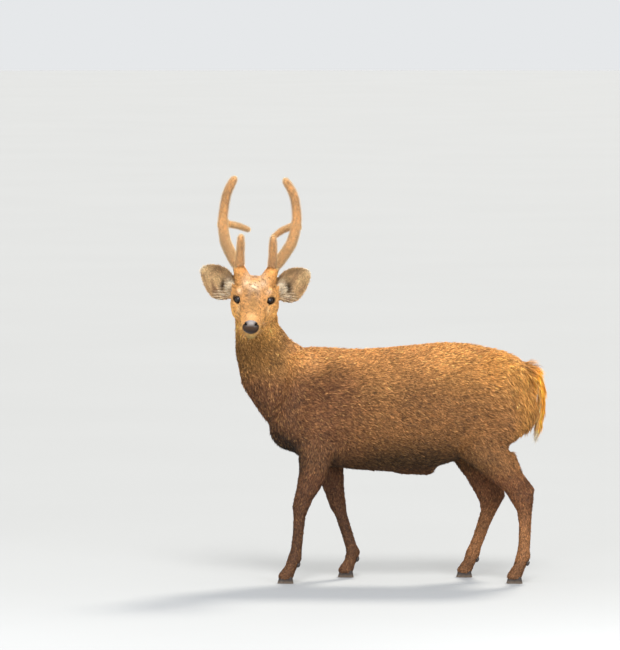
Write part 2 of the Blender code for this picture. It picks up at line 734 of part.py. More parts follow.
def mouth_line(head):
    """A thin wedge round the muzzle, between the lips."""
    depsgraph = bpy.context.evaluated_depsgraph_get()
    surface = BVHTree.FromObject(head, depsgraph)
    bm = bmesh.new()
    rings = []
    steps = 28
    for n in range(steps + 1):
        turn = math.radians(-100 + 200 * n / steps)
        back = MOUTH_BACK + 0.002 * abs(turn)
        up = MOUTH_LEVEL - 0.0045 * (abs(turn) / 1.75) ** 2
        origin = head_point(back, 0, up)
        out = head_direction(math.cos(turn), math.sin(turn), 0)
        far = origin + out * 0.09
        hit = surface.ray_cast(far, -out, 0.09)[0]
        fade = min(1.0, (steps / 2 - abs(n - steps / 2)) / 3)
        lift = head_direction(0, 0, 1)
        ring = []
        for reach, half in ((0.0025, 0.0009), (-0.0008 - 0.0032 * fade, 0.00025)):
            for sign in (1, -1):
                ring.append(bm.verts.new(hit + out * reach + lift * half * sign))
        rings.append([ring[0], ring[1], ring[3], ring[2]])
    for one, two in zip(rings, rings[1:]):
        for n in range(4):
            m = (n + 1) % 4
            bm.faces.new((one[n], one[m], two[m], two[n]))
    bm.faces.new(rings[0])
    bm.faces.new(rings[-1])
    bmesh.ops.recalc_face_normals(bm, faces=bm.faces)
    return new_object("mouth line", bm)


def mass_object(name, matrix, segments=24, rings=16):
    bm = bmesh.new()
    add_mass(bm, matrix, segments, rings)
    return new_object(name, bm)


def build_head():
    bm = fused_base(skull_masses, SKULL_VOXEL, SKULL_SMOOTHING)
    head_masses(bm)
    head = fuse(new_object("head", bm), HEAD_VOXEL, 4, HEAD_TRIANGLES)
    across = Vector((0, 1, 0))
    centre, facing = HEAD_CUT
    below = centre + facing.normalized() * GAP
    trim(head, half_space("below", below, -facing, across, 0.3, 0.3, 0.2))
    slabs = []
    labels = {"head": head_point(0.0, 0.0, -0.01)}
    upright = head_direction(0, 0, 1)
    for name, side in SIDES.items():
        root = head_point(-0.085, EAR_ROOT_LEFT_OF_MIDDLE * side, 0.012)
        slabs.append(slab_matrix(root, head_direction(0, 1, 0), upright, 0.125, 0.090, GAP))
        labels["ear_" + name] = head_point(-0.08, 0.10 * side, 0.03)
    trim(head, block("slabs", *slabs))
    for side in (LEFT, RIGHT):
        spot, rising = coronet(side)
        trim(head, half_space("coronet", spot, rising, upright, 0.05, 0.05, 0.05))
        trim(head, mass_object("socket", ball(side, GAP), 18, 12))
        trim(head, lid_opening(side))
    trim(head, mouth_line(head))
    for side in (LEFT, RIGHT):
        trim(head, mass_object("nostril", nostril(side), 14, 10))
    nose = head.copy()
    nose.data = head.data.copy()
    bpy.context.scene.collection.objects.link(nose)
    trim(nose, mass_object("pad", matrix_in_head(*NOSE_PAD), 20, 12), "INTERSECT")
    grown = [radius + GAP for radius in NOSE_PAD[3:]]
    trim(head, mass_object("pad", matrix_in_head(*NOSE_PAD[:3], *grown), 20, 12))
    made = split(head, labels)
    made.update(split(nose, {"nose": head_point(0.155, 0, -0.02)}))
    return made


def nostril(side):
    forward, left, up, rf, rl, ru = NOSTRIL
    spot = Matrix.Translation((left * side, -forward, up))
    turn = Matrix.Rotation(math.radians(-38 * side), 4, "Z") @ Matrix.Rotation(math.radians(24 * side), 4, "Y")
    return HEAD_FRAME @ spot @ turn @ Matrix.Diagonal((rl, rf, ru, 1))


def ball(side, extra=0.0):
    radius = EYE_RADIUS + extra
    turn = gaze(side).to_track_quat("Z", "Y").to_matrix().to_4x4()
    return Matrix.Translation(eye_point(side)) @ turn @ Matrix.Diagonal((radius, radius, radius, 1))


def coronet(side):
    """A point on the face between pedicle and antler, and the way that the antler leaves it."""
    spot = head_point(CORONET.x, CORONET.y * side, CORONET.z)
    return spot, head_direction(-0.030, 0.022 * side, 0.037)


def antler_point(forward, left, up, side):
    """Both antlers lean a little to the stag's left at half height."""
    above = up - CORONET.z
    lean = ANTLER_LEAN * above * (1 - (above / ANTLER_TALL) ** 2)
    return head_point(forward, left * side + lean, up)


def antler_chain(stations, side):
    matrices = []
    for forward, left, up, radius in stations:
        spot = Matrix.Translation(antler_point(forward, left, up, side))
        matrices.append(spot @ Matrix.Scale(radius, 4))
    return matrices


def build_antlers():
    made = {}
    for name, side in SIDES.items():
        inner = INNER_TINE[name]
        bm = bmesh.new()
        for stations in (BEAM, BROW_TINE, inner):
            add_chain(bm, antler_chain(stations, side), 12, 8)
        antler = fuse(new_object("antler", bm), 0.0016, 5, ANTLER_TRIANGLES)
        spot, rising = coronet(side)
        upright = head_direction(0, 0, 1)
        away = spot + rising * GAP
        trim(antler, half_space("coronet", away, -rising, upright, 0.09, 0.09, 0.06))
        points = [antler_point(*station[:3], side) for station in inner]
        along = (points[1] - points[0]).normalized()
        rise = antler_point(*BROW_TINE[3][:3], side)
        brow = antler_point(*BROW_TINE_CUT, side)
        beam = antler_point(*BEAM_CUT, side)
        top = antler_point(*BEAM[8][:3], side)
        slabs = [
            slab_matrix(points[0] + along * 0.0215, along, upright, 0.026, 0.026, GAP),
            slab_matrix(brow, rise - brow, along, 0.030, 0.030, GAP),
            slab_matrix(beam, top - beam, along, 0.040, 0.040, GAP),
        ]
        trim(antler, block("slabs", *slabs))
        labels = {
            "beam_low": antler_point(-0.13, 0.085, 0.11, side),
            "beam_top": top,
            "brow_tine": rise,
            "inner_tine": points[2],
        }
        labels = {"antler_" + name + "_" + key: spot for key, spot in labels.items()}
        made.update(split(antler, labels))
    return made


def build_claw(name, toe, side, inner_side):
    """One claw: flat sole, straight inner wall, curved outer wall, sloping top."""
    bm = bmesh.new()
    heel = toe + CLAW_LENGTH
    middle = -side * FOOT_OUT
    rise = (CLAW_TOE_HEIGHT - CLAW_HEEL_HEIGHT) / CLAW_TOP_LENGTH
    rings = []
    for height, grow in CLAW_RINGS:
        ring = []
        length = CLAW_LENGTH + (CLAW_TOP_LENGTH - CLAW_LENGTH) * height
        for along, off in CLAW_OUTLINE:
            forward = 0.003 * height * (1 - along) + along * length
            top = CLAW_HEEL_HEIGHT + rise * forward
            half = CLAW_WIDTH / 2 - 0.0006
            y = middle + inner_side * (CLAW_WIDTH / 2 + off * half * min(grow, 1.0 if off < 0 else grow))
            ring.append(bm.verts.new((heel - forward, y, top * height)))
        rings.append(ring)
    count = len(CLAW_OUTLINE)
    for one, two in zip(rings, rings[1:]):
        for n in range(count):
            m = (n + 1) % count
            bm.faces.new((one[n], one[m], two[m], two[n]))
    bm.faces.new(rings[0])
    bm.faces.new(rings[-1])
    bmesh.ops.triangulate(bm, faces=[face for face in bm.faces if len(face.verts) == 4])
    bmesh.ops.recalc_face_normals(bm, faces=bm.faces)
    return new_object(name, bm)


def colour(code):
    """A colour given as sRGB hex, turned to the linear values that a material takes."""
    values = [int(code[n : n + 2], 16) / 255 for n in (0, 2, 4)]
    return [v / 12.92 if v <= 0.04045 else ((v + 0.055) / 1.055) ** 2.4 for v in values] + [1.0]


def paint(obj, code, roughness):
    material = bpy.data.materials.new(obj.name)
    material.use_nodes = True
    shader = material.node_tree.nodes["Principled BSDF"]
    shader.inputs["Base Color"].default_value = colour(code)
    shader.inputs["Roughness"].default_value = roughness
    material.diffuse_color = colour(code)
    obj.data.materials.clear()
    obj.data.materials.append(material)


def main():
    for obj in list(bpy.data.objects):
        bpy.data.objects.remove(obj)
    made = {}
    made.update(build_body())
    made.update(build_tail())
    made.update(build_head())
    made.update(build_antlers())
    for name, side in SIDES.items():
        made["eye_" + name] = mass_object("eye_" + name, ball(side), 18, 12)
    for name, (_, side) in LEGS.items():
        for which, inner_side in (("inner", side), ("outer", -side)):
            claw = f"{name}_claw_{which}"
            made[claw] = build_claw(claw, TOES[name], side, inner_side)
        for which, spot in zip(("a", "b"), dewclaw_spots(name, side)):
            dewclaw = f"{name}_dewclaw_{which}"
            made[dewclaw] = mass_object(dewclaw, dewclaw_matrix(spot), 8, 6)
    for name, obj in made.items():
        for part, (code, roughness) in LOOKS.items():
            if part in name:
                paint(obj, code, roughness)
                break
    centre(made.values())


def centre(objects):
    """Moves the stag so that the origin is on the floor under the middle of its box."""
    points = [vert.co for obj in objects for vert in obj.data.vertices]
    middle = Vector()
    for axis in (0, 1):
        values = [point[axis] for point in points]
        middle[axis] = (min(values) + max(values)) / 2
    for obj in objects:
        obj.location = -middle


main()
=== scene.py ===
"""The looks of a hog deer stag in velvet.

One skin lies under a coat of tufts. Eyes, nose pad, velvet antlers and claws are pieces of their own.
The tables are in the coordinates in which the body was drawn: metres, +Z up, floor at z = 0, the body
faces -X, its left side is towards -Y. build() moves each finished piece to the frame's coordinates.
"""

import json
import math

import bmesh
import bpy
import numpy as np
from mathutils import Matrix, Vector
from mathutils.bvhtree import BVHTree
from mathutils.kdtree import KDTree

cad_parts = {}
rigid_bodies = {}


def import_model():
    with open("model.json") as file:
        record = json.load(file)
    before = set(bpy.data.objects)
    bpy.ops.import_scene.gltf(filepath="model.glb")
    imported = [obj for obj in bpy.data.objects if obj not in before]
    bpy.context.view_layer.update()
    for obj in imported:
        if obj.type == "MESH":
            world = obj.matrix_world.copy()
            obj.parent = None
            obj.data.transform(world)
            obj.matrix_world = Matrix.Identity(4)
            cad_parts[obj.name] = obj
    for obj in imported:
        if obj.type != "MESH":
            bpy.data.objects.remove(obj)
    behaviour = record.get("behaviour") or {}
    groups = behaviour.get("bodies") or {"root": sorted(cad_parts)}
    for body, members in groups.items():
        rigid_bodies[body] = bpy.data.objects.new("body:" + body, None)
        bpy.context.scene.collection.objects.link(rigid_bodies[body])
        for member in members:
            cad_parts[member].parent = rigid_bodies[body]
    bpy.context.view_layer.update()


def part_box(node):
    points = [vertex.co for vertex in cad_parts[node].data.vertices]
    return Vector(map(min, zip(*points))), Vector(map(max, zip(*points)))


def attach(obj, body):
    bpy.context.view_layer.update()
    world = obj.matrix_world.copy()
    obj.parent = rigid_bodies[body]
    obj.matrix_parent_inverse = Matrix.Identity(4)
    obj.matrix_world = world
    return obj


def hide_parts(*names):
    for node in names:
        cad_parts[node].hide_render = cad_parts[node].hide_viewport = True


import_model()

SEED = 11
TRUNK_VOXEL = 0.0050
TRUNK_SMOOTHING = 26
SKULL_VOXEL = 0.0026
SKULL_SMOOTHING = 18
SKIN_VOXEL = 0.0020
HEAD_SMOOTHING = 3
BODY_SMOOTHING = 16
SKIN_TRIANGLES = 150000
ANTLER_VOXEL = 0.0017
ANTLER_SMOOTHING = 5
NOSE_BASE_VOXEL = 0.0014
NOSE_BASE_SMOOTHING = 60
NOSE_VOXEL = 0.0009
NOSE_SMOOTHING = 14
ANTLER_LEAN = 0.036
ANTLER_TALL = 0.220
MOUTH_BACK = 0.085
MOUTH_LEVEL = -0.0455
MOUTH_STEPS = 28
EAR_TILT = math.radians(-22)
EAR_RISE = math.radians(37)

LEFT, RIGHT = 1, -1
SIDES = {"left": LEFT, "right": RIGHT}

# The head's own frame: forward, to the stag's left, up, from the point midway between the eyes
EYES_MIDDLE = Vector((-0.3415, -0.115, 0.813))
HEAD_YAW = math.radians(-3.0)
HEAD_PITCH = math.radians(18.0)
HEAD_ROLL = math.radians(2.0)
HEAD_FRAME = (
    Matrix.Translation(EYES_MIDDLE)
    @ Matrix.Rotation(HEAD_YAW, 4, "Z")
    @ Matrix.Rotation(HEAD_PITCH, 4, "X")
    @ Matrix.Rotation(HEAD_ROLL, 4, "Y")
)

# Torso sections: x, top, bottom, half width
TORSO = [
    (-0.262, 0.600, 0.395, 0.060),
    (-0.235, 0.650, 0.368, 0.085),
    (-0.190, 0.672, 0.343, 0.104),
    (-0.130, 0.670, 0.326, 0.115),
    (-0.050, 0.665, 0.317, 0.121),
    (0.050, 0.671, 0.311, 0.127),
    (0.130, 0.679, 0.312, 0.128),
    (0.200, 0.685, 0.332, 0.125),
    (0.270, 0.681, 0.355, 0.122),
    (0.340, 0.666, 0.385, 0.115),
    (0.400, 0.646, 0.415, 0.100),
    (0.430, 0.622, 0.447, 0.076),
    (0.442, 0.592, 0.485, 0.050),
]
TORSO_RING = 0.020

# Chains and single masses in the body's frame: x, y, z, then the radii along x, y, z
NECK = [
    (-0.200, 0.000, 0.520, 0.135, 0.085, 0.110),
    (-0.262, 0.000, 0.585, 0.122, 0.076, 0.090),
    (-0.309, -0.002, 0.650, 0.088, 0.068, 0.070),
    (-0.334, -0.008, 0.715, 0.064, 0.062, 0.060),
    (-0.337, -0.014, 0.775, 0.061, 0.058, 0.050),
    (-0.338, -0.032, 0.815, 0.050, 0.050, 0.040),
]
BRISKET = (-0.232, 0.000, 0.438, 0.070, 0.062, 0.068)
SHEATH = [
    (0.080, 0.000, 0.318, 0.030, 0.024, 0.014),
    (0.152, 0.000, 0.316, 0.024, 0.020, 0.016),
]
TAIL = [
    (0.434, 0.000, 0.606, 0.026, 0.026, 0.022),
    (0.462, 0.000, 0.590, 0.018, 0.025, 0.024),
    (0.4790, 0.000, 0.545, 0.0125, 0.027, 0.026),
    (0.4780, 0.000, 0.495, 0.0135, 0.026, 0.026),
    (0.4715, 0.000, 0.450, 0.0125, 0.020, 0.022),
    (0.4650, 0.000, 0.420, 0.0080, 0.011, 0.014),
]

# Each leg from its girdle down to the band above the claws. All are drawn towards +Y, and the left ones
# are flipped to -Y when they are built.
FORE_LEFT = {
    "girdle": [
        (-0.205, 0.056, 0.620, 0.045, 0.032, 0.045),
        (-0.245, 0.066, 0.470, 0.048, 0.044, 0.055),
        (-0.170, 0.078, 0.390, 0.052, 0.036, 0.045),
    ],
    "muscle": [(-0.175, 0.074, 0.460, 0.075, 0.044, 0.085)],
    "shank": [
        (-0.165, 0.080, 0.375, 0.055, 0.035, 0.045),
        (-0.174, 0.082, 0.314, 0.042, 0.029, 0.030),
        (-0.187, 0.082, 0.277, 0.034, 0.025, 0.026),
        (-0.200, 0.081, 0.247, 0.0275, 0.0225, 0.020),
        (-0.209, 0.080, 0.220, 0.0240, 0.0225, 0.021),
        (-0.213, 0.080, 0.192, 0.0175, 0.0170, 0.015),
        (-0.217, 0.079, 0.140, 0.0155, 0.0145, 0.020),
        (-0.222, 0.078, 0.095, 0.0160, 0.0150, 0.015),
        (-0.226, 0.078, 0.073, 0.0195, 0.0185, 0.018),
        (-0.238, 0.078, 0.045, 0.0165, 0.0185, 0.015),
        (-0.252, 0.078, 0.020, 0.0215, 0.0215, 0.014),
    ],
}
FORE_RIGHT = {
    "girdle": [
        (-0.190, 0.056, 0.620, 0.045, 0.032, 0.045),
        (-0.225, 0.066, 0.470, 0.048, 0.044, 0.055),
        (-0.145, 0.078, 0.390, 0.052, 0.036, 0.045),
    ],
    "muscle": [(-0.155, 0.074, 0.460, 0.075, 0.044, 0.085)],
    "shank": [
        (-0.135, 0.080, 0.375, 0.055, 0.035, 0.045),
        (-0.122, 0.082, 0.295, 0.037, 0.028, 0.030),
        (-0.113, 0.082, 0.250, 0.0285, 0.0240, 0.022),
        (-0.103, 0.081, 0.208, 0.0240, 0.0225, 0.021),
        (-0.094, 0.080, 0.182, 0.0175, 0.0170, 0.015),
        (-0.079, 0.079, 0.135, 0.0160, 0.0145, 0.020),
        (-0.066, 0.078, 0.092, 0.0165, 0.0150, 0.015),
        (-0.059, 0.078, 0.072, 0.0195, 0.0185, 0.018),
        (-0.068, 0.078, 0.044, 0.0165, 0.0185, 0.015),
        (-0.080, 0.078, 0.020, 0.0215, 0.0215, 0.014),
    ],
}
HIND_LEFT = {
    "girdle": [
        (0.350, 0.060, 0.580, 0.090, 0.045, 0.080),
        (0.350, 0.074, 0.470, 0.088, 0.048, 0.080),
        (0.285, 0.080, 0.385, 0.052, 0.036, 0.046),
    ],
    "muscle": [(0.420, 0.050, 0.500, 0.046, 0.042, 0.075)],
    "shank": [
        (0.325, 0.081, 0.365, 0.068, 0.037, 0.045),
        (0.372, 0.082, 0.312, 0.044, 0.028, 0.036),
        (0.403, 0.081, 0.276, 0.036, 0.023, 0.027),
        (0.420, 0.080, 0.247, 0.0350, 0.0215, 0.024),
        (0.428, 0.080, 0.212, 0.0225, 0.0185, 0.018),
        (0.430, 0.079, 0.170, 0.0180, 0.0155, 0.020),
        (0.4285, 0.078, 0.118, 0.0170, 0.0150, 0.020),
        (0.4265, 0.078, 0.098, 0.0175, 0.0160, 0.014),
        (0.4255, 0.078, 0.080, 0.0205, 0.0190, 0.019),
        (0.414, 0.078, 0.048, 0.0170, 0.0185, 0.015),
        (0.400, 0.078, 0.020, 0.0215, 0.0215, 0.014),
    ],
    "hamstring": [
        (0.390, 0.080, 0.360, 0.016, 0.014, 0.020),
        (0.415, 0.081, 0.310, 0.010, 0.010, 0.012),
        (0.444, 0.080, 0.268, 0.012, 0.0125, 0.014),
        (0.438, 0.080, 0.215, 0.010, 0.011, 0.014),
    ],
}
HIND_RIGHT = {
    "girdle": [
        (0.340, 0.060, 0.580, 0.090, 0.045, 0.080),
        (0.325, 0.074, 0.470, 0.088, 0.048, 0.080),
        (0.255, 0.080, 0.380, 0.050, 0.036, 0.046),
    ],
    "muscle": [(0.420, 0.050, 0.500, 0.046, 0.042, 0.075)],
    "shank": [
        (0.285, 0.081, 0.355, 0.066, 0.037, 0.045),
        (0.309, 0.082, 0.295, 0.044, 0.028, 0.036),
        (0.326, 0.081, 0.255, 0.038, 0.023, 0.027),
        (0.337, 0.080, 0.224, 0.0340, 0.0215, 0.024),
        (0.331, 0.080, 0.192, 0.0225, 0.0185, 0.018),
        (0.317, 0.079, 0.155, 0.0180, 0.0155, 0.020),
        (0.302, 0.078, 0.112, 0.0170, 0.0150, 0.020),
        (0.293, 0.078, 0.090, 0.0175, 0.0160, 0.014),
        (0.287, 0.078, 0.072, 0.0205, 0.0190, 0.019),
        (0.276, 0.078, 0.044, 0.0170, 0.0185, 0.015),
        (0.262, 0.078, 0.020, 0.0215, 0.0215, 0.014),
    ],
    "hamstring": [
        (0.350, 0.080, 0.345, 0.016, 0.014, 0.020),
        (0.357, 0.081, 0.285, 0.010, 0.010, 0.012),
        (0.366, 0.080, 0.238, 0.0125, 0.0125, 0.014),
        (0.342, 0.080, 0.190, 0.010, 0.011, 0.014),
    ],
}
LEGS = {
    "foreleg_left": (FORE_LEFT, LEFT),
    "foreleg_right": (FORE_RIGHT, RIGHT),
    "hindleg_left": (HIND_LEFT, LEFT),
    "hindleg_right": (HIND_RIGHT, RIGHT),
}

# Head masses in the head's frame: forward, left, up, then the radii along them
SKULL = [
    (-0.085, 0.0, -0.0075, 0.020, 0.045, 0.0425),
    (-0.055, 0.0, -0.0050, 0.020, 0.057, 0.0570),
    (-0.022, 0.0, -0.0090, 0.020, 0.058, 0.0590),
    (0.010, 0.0, -0.0155, 0.020, 0.048, 0.0535),
    (0.045, 0.0, -0.0220, 0.020, 0.040, 0.0440),
    (0.080, 0.0, -0.0270, 0.020, 0.033, 0.0360),
    (0.115, 0.0, -0.0310, 0.018, 0.0285, 0.0310),
    (0.136, 0.0, -0.0320, 0.016, 0.0265, 0.0270),
]
NOSE_END = (0.143, 0.0, -0.025, 0.017, 0.0260, 0.0200)
CHIN = (0.125, 0.0, -0.056, 0.020, 0.0170, 0.0110)
CHEEK = [
    (-0.034, 0.047, -0.028, 0.030, 0.023, 0.036),
    (-0.008, 0.044, -0.034, 0.030, 0.021, 0.031),
    (0.040, 0.024, -0.034, 0.030, 0.016, 0.024),
]
ORBIT = (-0.022, 0.048, 0.000, 0.028, 0.021, 0.022)
BROW = (-0.012, 0.038, 0.021, 0.024, 0.016, 0.012)
PEDICLE = [
    (-0.050, 0.032, 0.036, 0.026, 0.024, 0.024),
    (-0.0773, 0.051, 0.0712, 0.0165, 0.0165, 0.010),
]
CORONET = Vector((-0.0750, 0.0494, 0.0682))
EAR_STUB = [
    (-0.058, 0.046, -0.004, 0.020, 0.020, 0.024),
    (-0.079, 0.0690, 0.004, 0.012, 0.014, 0.017),
]

EYE = Vector((-0.0055, 0.0390, 0.0))
EYE_RADIUS = 0.0170
LID = 0.0032
GAZE_OUT = math.radians(29.0)
LID_OPENING = (0.0295, 0.0215)
LID_STEPS = 20
SOCKET_ROOM = 0.0003
NOSE_PAD = (0.158, 0.0, -0.022, 0.020, 0.0245, 0.0245)
NOSTRIL = (0.1515, 0.0165, -0.0130, 0.0100, 0.0032, 0.0055)

# The ear is a cupped leaf: distance along it, the two edges off its middle line, depth of the cup
EAR_BASE = (-0.0608, 0.050, -0.0095)
EAR_LEAF = [
    (0.004, -0.018, 0.014, 0.014),
    (0.015, -0.034, 0.023, 0.022),
    (0.030, -0.0465, 0.030, 0.028),
    (0.050, -0.0520, 0.0355, 0.029),
    (0.070, -0.0465, 0.0370, 0.024),
    (0.090, -0.0370, 0.0320, 0.016),
    (0.105, -0.0270, 0.0220, 0.010),
    (0.116, -0.0180, 0.0115, 0.006),
    (0.123, -0.0100, 0.0010, 0.003),
]
EAR_THICKNESS = 0.0040
EAR_COLUMNS = 12

# Antler stations in the head's frame: forward, left, up, radius
BEAM = [
    (-0.0700, 0.0455, 0.0620, 0.0158),
    (-0.0780, 0.0515, 0.0715, 0.0158),
    (-0.0939, 0.0650, 0.0829, 0.0155),
    (-0.1185, 0.0810, 0.1010, 0.0153),
    (-0.1395, 0.0940, 0.1184, 0.0150),
    (-0.1611, 0.1010, 0.1398, 0.0148),
    (-0.1776, 0.1050, 0.1619, 0.0146),
    (-0.1886, 0.1056, 0.1811, 0.0140),
    (-0.1983, 0.1025, 0.2078, 0.0134),
    (-0.2034, 0.0980, 0.2338, 0.0129),
    (-0.2050, 0.0900, 0.2560, 0.0123),
    (-0.2038, 0.0795, 0.2760, 0.0113),
    (-0.2027, 0.0745, 0.2845, 0.0104),
]
BROW_TINE = [
    (-0.0700, 0.0470, 0.0660, 0.0140),
    (-0.0670, 0.0468, 0.0850, 0.0130),
    (-0.0635, 0.0465, 0.1092, 0.0115),
    (-0.0581, 0.0460, 0.1437, 0.0110),
    (-0.0539, 0.0456, 0.1665, 0.0092),
]
INNER_TINE = {
    "left": [
        (-0.1771, 0.1050, 0.1608, 0.0105),
        (-0.1912, 0.0856, 0.1503, 0.0090),
        (-0.2066, 0.0620, 0.1322, 0.0090),
        (-0.2165, 0.0410, 0.1098, 0.0076),
    ],
    "right": [
        (-0.1771, 0.1050, 0.1608, 0.0105),
        (-0.1920, 0.0856, 0.1522, 0.0090),
        (-0.2100, 0.0600, 0.1406, 0.0090),
        (-0.2233, 0.0350, 0.1262, 0.0078),
    ],
}

# Claws: their sizes, then x at the tips of each foot's toes and how far the feet stand off the middle
CLAW_LENGTH = 0.046
CLAW_WIDTH = 0.0172
CLAW_HEEL_HEIGHT = 0.015
CLAW_TOE_HEIGHT = 0.036
CLAW_TOP_LENGTH = 0.034
TOES = {
    "foreleg_left": -0.276,
    "foreleg_right": -0.103,
    "hindleg_left": 0.377,
    "hindleg_right": 0.238,
}
FOOT_OUT = 0.078
# The sole's outline: along from the heel, then off the claw's own middle line
CLAW_OUTLINE = [
    (0.00, 0.30),
    (0.10, 0.82),
    (0.32, 1.00),
    (0.58, 0.92),
    (0.78, 0.66),
    (0.92, 0.28),
    (1.00, -0.40),
    (0.94, -0.80),
    (0.70, -0.95),
    (0.40, -1.00),
    (0.12, -0.90),
    (0.00, -0.40),
]
CLAW_POINTS = 56
CLAW_RINGS = [(0.0, 0.94), (0.06, 1.0), (0.50, 1.03), (1.0, 1.0)]
CLAW_LEVELS = (0, 0.015, 0.04, 0.07, 0.15, 0.25, 0.4, 0.55, 0.7, 0.85, 0.95, 1.0)
CLAW_SEAM = 0.0006
CLAW_SHARPNESS = math.radians(50)
DEWCLAW = (0.0075, 0.0062, 0.0095)
DEWCLAW_TURN = math.radians(25)
DEWCLAW_SPREAD = 0.0115
DEWCLAWS = {
    "foreleg_left": (-0.2135, 0.053),
    "foreleg_right": (-0.0440, 0.052),
    "hindleg_left": (0.4400, 0.058),
    "hindleg_right": (0.3010, 0.051),
}
# The plane between neck and head: a point on it and the way it faces
HEAD_CUT = (Vector((-0.337, -0.045, 0.758)), Vector((0.0, -0.55, 0.83)))

# Places on the head and the way the hair lies there: forward, left, up, then the direction
HEAD_WAYS = [
    (0.150, 0.010, -0.050, -1.0, 0.2, -0.5),
    (0.120, 0.000, -0.066, -1.0, 0.0, -0.1),
    (0.060, 0.000, -0.070, -1.0, 0.0, -0.1),
    (0.130, 0.024, -0.030, -1.0, 0.4, 0.0),
    (0.060, 0.034, -0.020, -1.0, 0.3, -0.3),
    (0.030, 0.036, 0.012, -1.0, 0.5, 0.5),
    (0.020, 0.000, 0.034, -1.0, 0.0, 0.8),
    (0.000, 0.030, 0.040, -0.5, 0.3, 1.0),
    (-0.020, 0.000, 0.050, -0.6, 0.0, 1.0),
    (-0.010, 0.056, -0.030, -1.0, 0.3, -0.6),
    (-0.040, 0.060, -0.020, -1.0, 0.5, -0.3),
    (-0.050, 0.034, 0.060, -0.5, 0.4, 1.0),
    (-0.070, 0.050, 0.070, -0.5, 0.4, 1.0),
    (-0.080, 0.000, 0.045, -1.0, 0.0, 0.1),
    (-0.100, 0.030, 0.000, -0.4, 0.0, -1.0),
]

# Colours as sRGB hex
COLOURS = {
    "flank": "8C6037",
    "back": "E2A765",
    "rump": "CE9449",
    "shoulder": "784E31",
    "belly_and_shade": "3A2814",
    "chest": "170E07",
    "leg": "74482B",
    "shin": "5A3A25",
    "cannon": "9C6C44",
    "pastern": "6E4A30",
    "neck": "865F30",
    "throat": "B08242",
    "face": "D6A064",
    "forehead": "F2D9BC",
    "bridge": "A07A48",
    "crown": "80603F",
    "ash": "8F7562",
    "pale": "F2D4A4",
    "straw": "D6A362",
    "lips": "A98E54",
    "rim": "1E140F",
    "jaw": "F4B868",
    "pedicle": "DC9F58",
    "ear_back": "A8845A",
    "ear_inner": "DDBF92",
    "ear_hollow": "3A281C",
    "ear_rim": "94704F",
    "ear_pale": "F2E4CC",
    "ear_brown": "86624C",
    "tail": "FFAE3C",
    "tail_tip": "F8EEDC",
    "velvet": "D09C64",
    "velvet_dusky": "A47A56",
    "velvet_speck": "7E5238",
    "velvet_pale": "FFEDBE",
    "eye_brown": "160D09",
    "iris": "24150C",
    "pupil": "040303",
    "nose_brown": "38220F",
    "nose_top_highlight": "938C8B",
    "nose_low_shade": "1C110B",
    "nostril": "0A0808",
    "horn": "2A211D",
    "horn_low": "6B5B4C",
    "lash": "17100C",
    "whisker": "D8C8A8",
    "ear_strand": "EADBC2",
    "floor": "989B9F",
    "sky": "E6E8EA",
}

# Patches on the face: colour, forward, left, up, the radii along them, strength
FACE_PATCHES = [
    ("jaw", 0.010, 0.055, -0.050, 0.070, 0.026, 0.034, 0.85),
    ("jaw", 0.080, 0.036, -0.030, 0.050, 0.012, 0.026, 0.75),
    ("bridge", 0.070, 0.000, 0.006, 0.050, 0.019, 0.030, 0.80),
    ("bridge", 0.022, 0.000, 0.030, 0.020, 0.016, 0.020, 0.70),
    ("ash", 0.030, 0.012, 0.026, 0.026, 0.008, 0.020, 0.55),
    ("forehead", 0.004, 0.000, 0.040, 0.017, 0.016, 0.014, 0.90),
    ("forehead", -0.012, 0.026, 0.046, 0.016, 0.012, 0.014, 0.85),
    ("forehead", 0.012, 0.044, 0.026, 0.016, 0.009, 0.007, 0.75),
    ("forehead", -0.045, 0.020, 0.054, 0.016, 0.009, 0.012, 0.55),
    ("ash", -0.046, 0.000, 0.054, 0.014, 0.008, 0.014, 0.85),
    ("crown", -0.080, 0.000, 0.050, 0.024, 0.030, 0.020, 0.55),
    ("crown", 0.014, 0.026, 0.030, 0.007, 0.005, 0.007, 0.75),
    ("crown", 0.000, 0.034, 0.036, 0.007, 0.006, 0.006, 0.60),
    ("pedicle", -0.060, 0.042, 0.055, 0.022, 0.022, 0.018, 0.85),
    ("pale", 0.036, 0.035, -0.020, 0.011, 0.009, 0.012, 0.85),
    ("crown", 0.052, 0.033, -0.008, 0.020, 0.006, 0.005, 0.50),
    ("crown", 0.066, 0.036, -0.030, 0.014, 0.008, 0.010, 0.55),
    ("crown", 0.000, 0.052, -0.024, 0.018, 0.010, 0.008, 0.45),
    ("crown", -0.012, 0.056, 0.012, 0.014, 0.008, 0.014, 0.35),
    ("lips", 0.120, 0.026, -0.040, 0.030, 0.012, 0.010, 0.65),
    ("lips", 0.130, 0.000, -0.066, 0.045, 0.030, 0.012, 0.95),
    ("lips", 0.150, 0.000, -0.056, 0.022, 0.024, 0.013, 1.00),
    ("lips", 0.148, 0.030, -0.026, 0.010, 0.008, 0.020, 0.75),
    ("pale", 0.126, 0.000, 0.000, 0.016, 0.018, 0.010, 0.35),
    ("ear_rim", -0.078, 0.062, 0.024, 0.014, 0.010, 0.014, 0.80),
    ("ear_inner", -0.079, 0.074, 0.004, 0.014, 0.012, 0.016, 1.00),
    ("throat", 0.040, 0.000, -0.075, 0.050, 0.030, 0.020, 0.55),
]

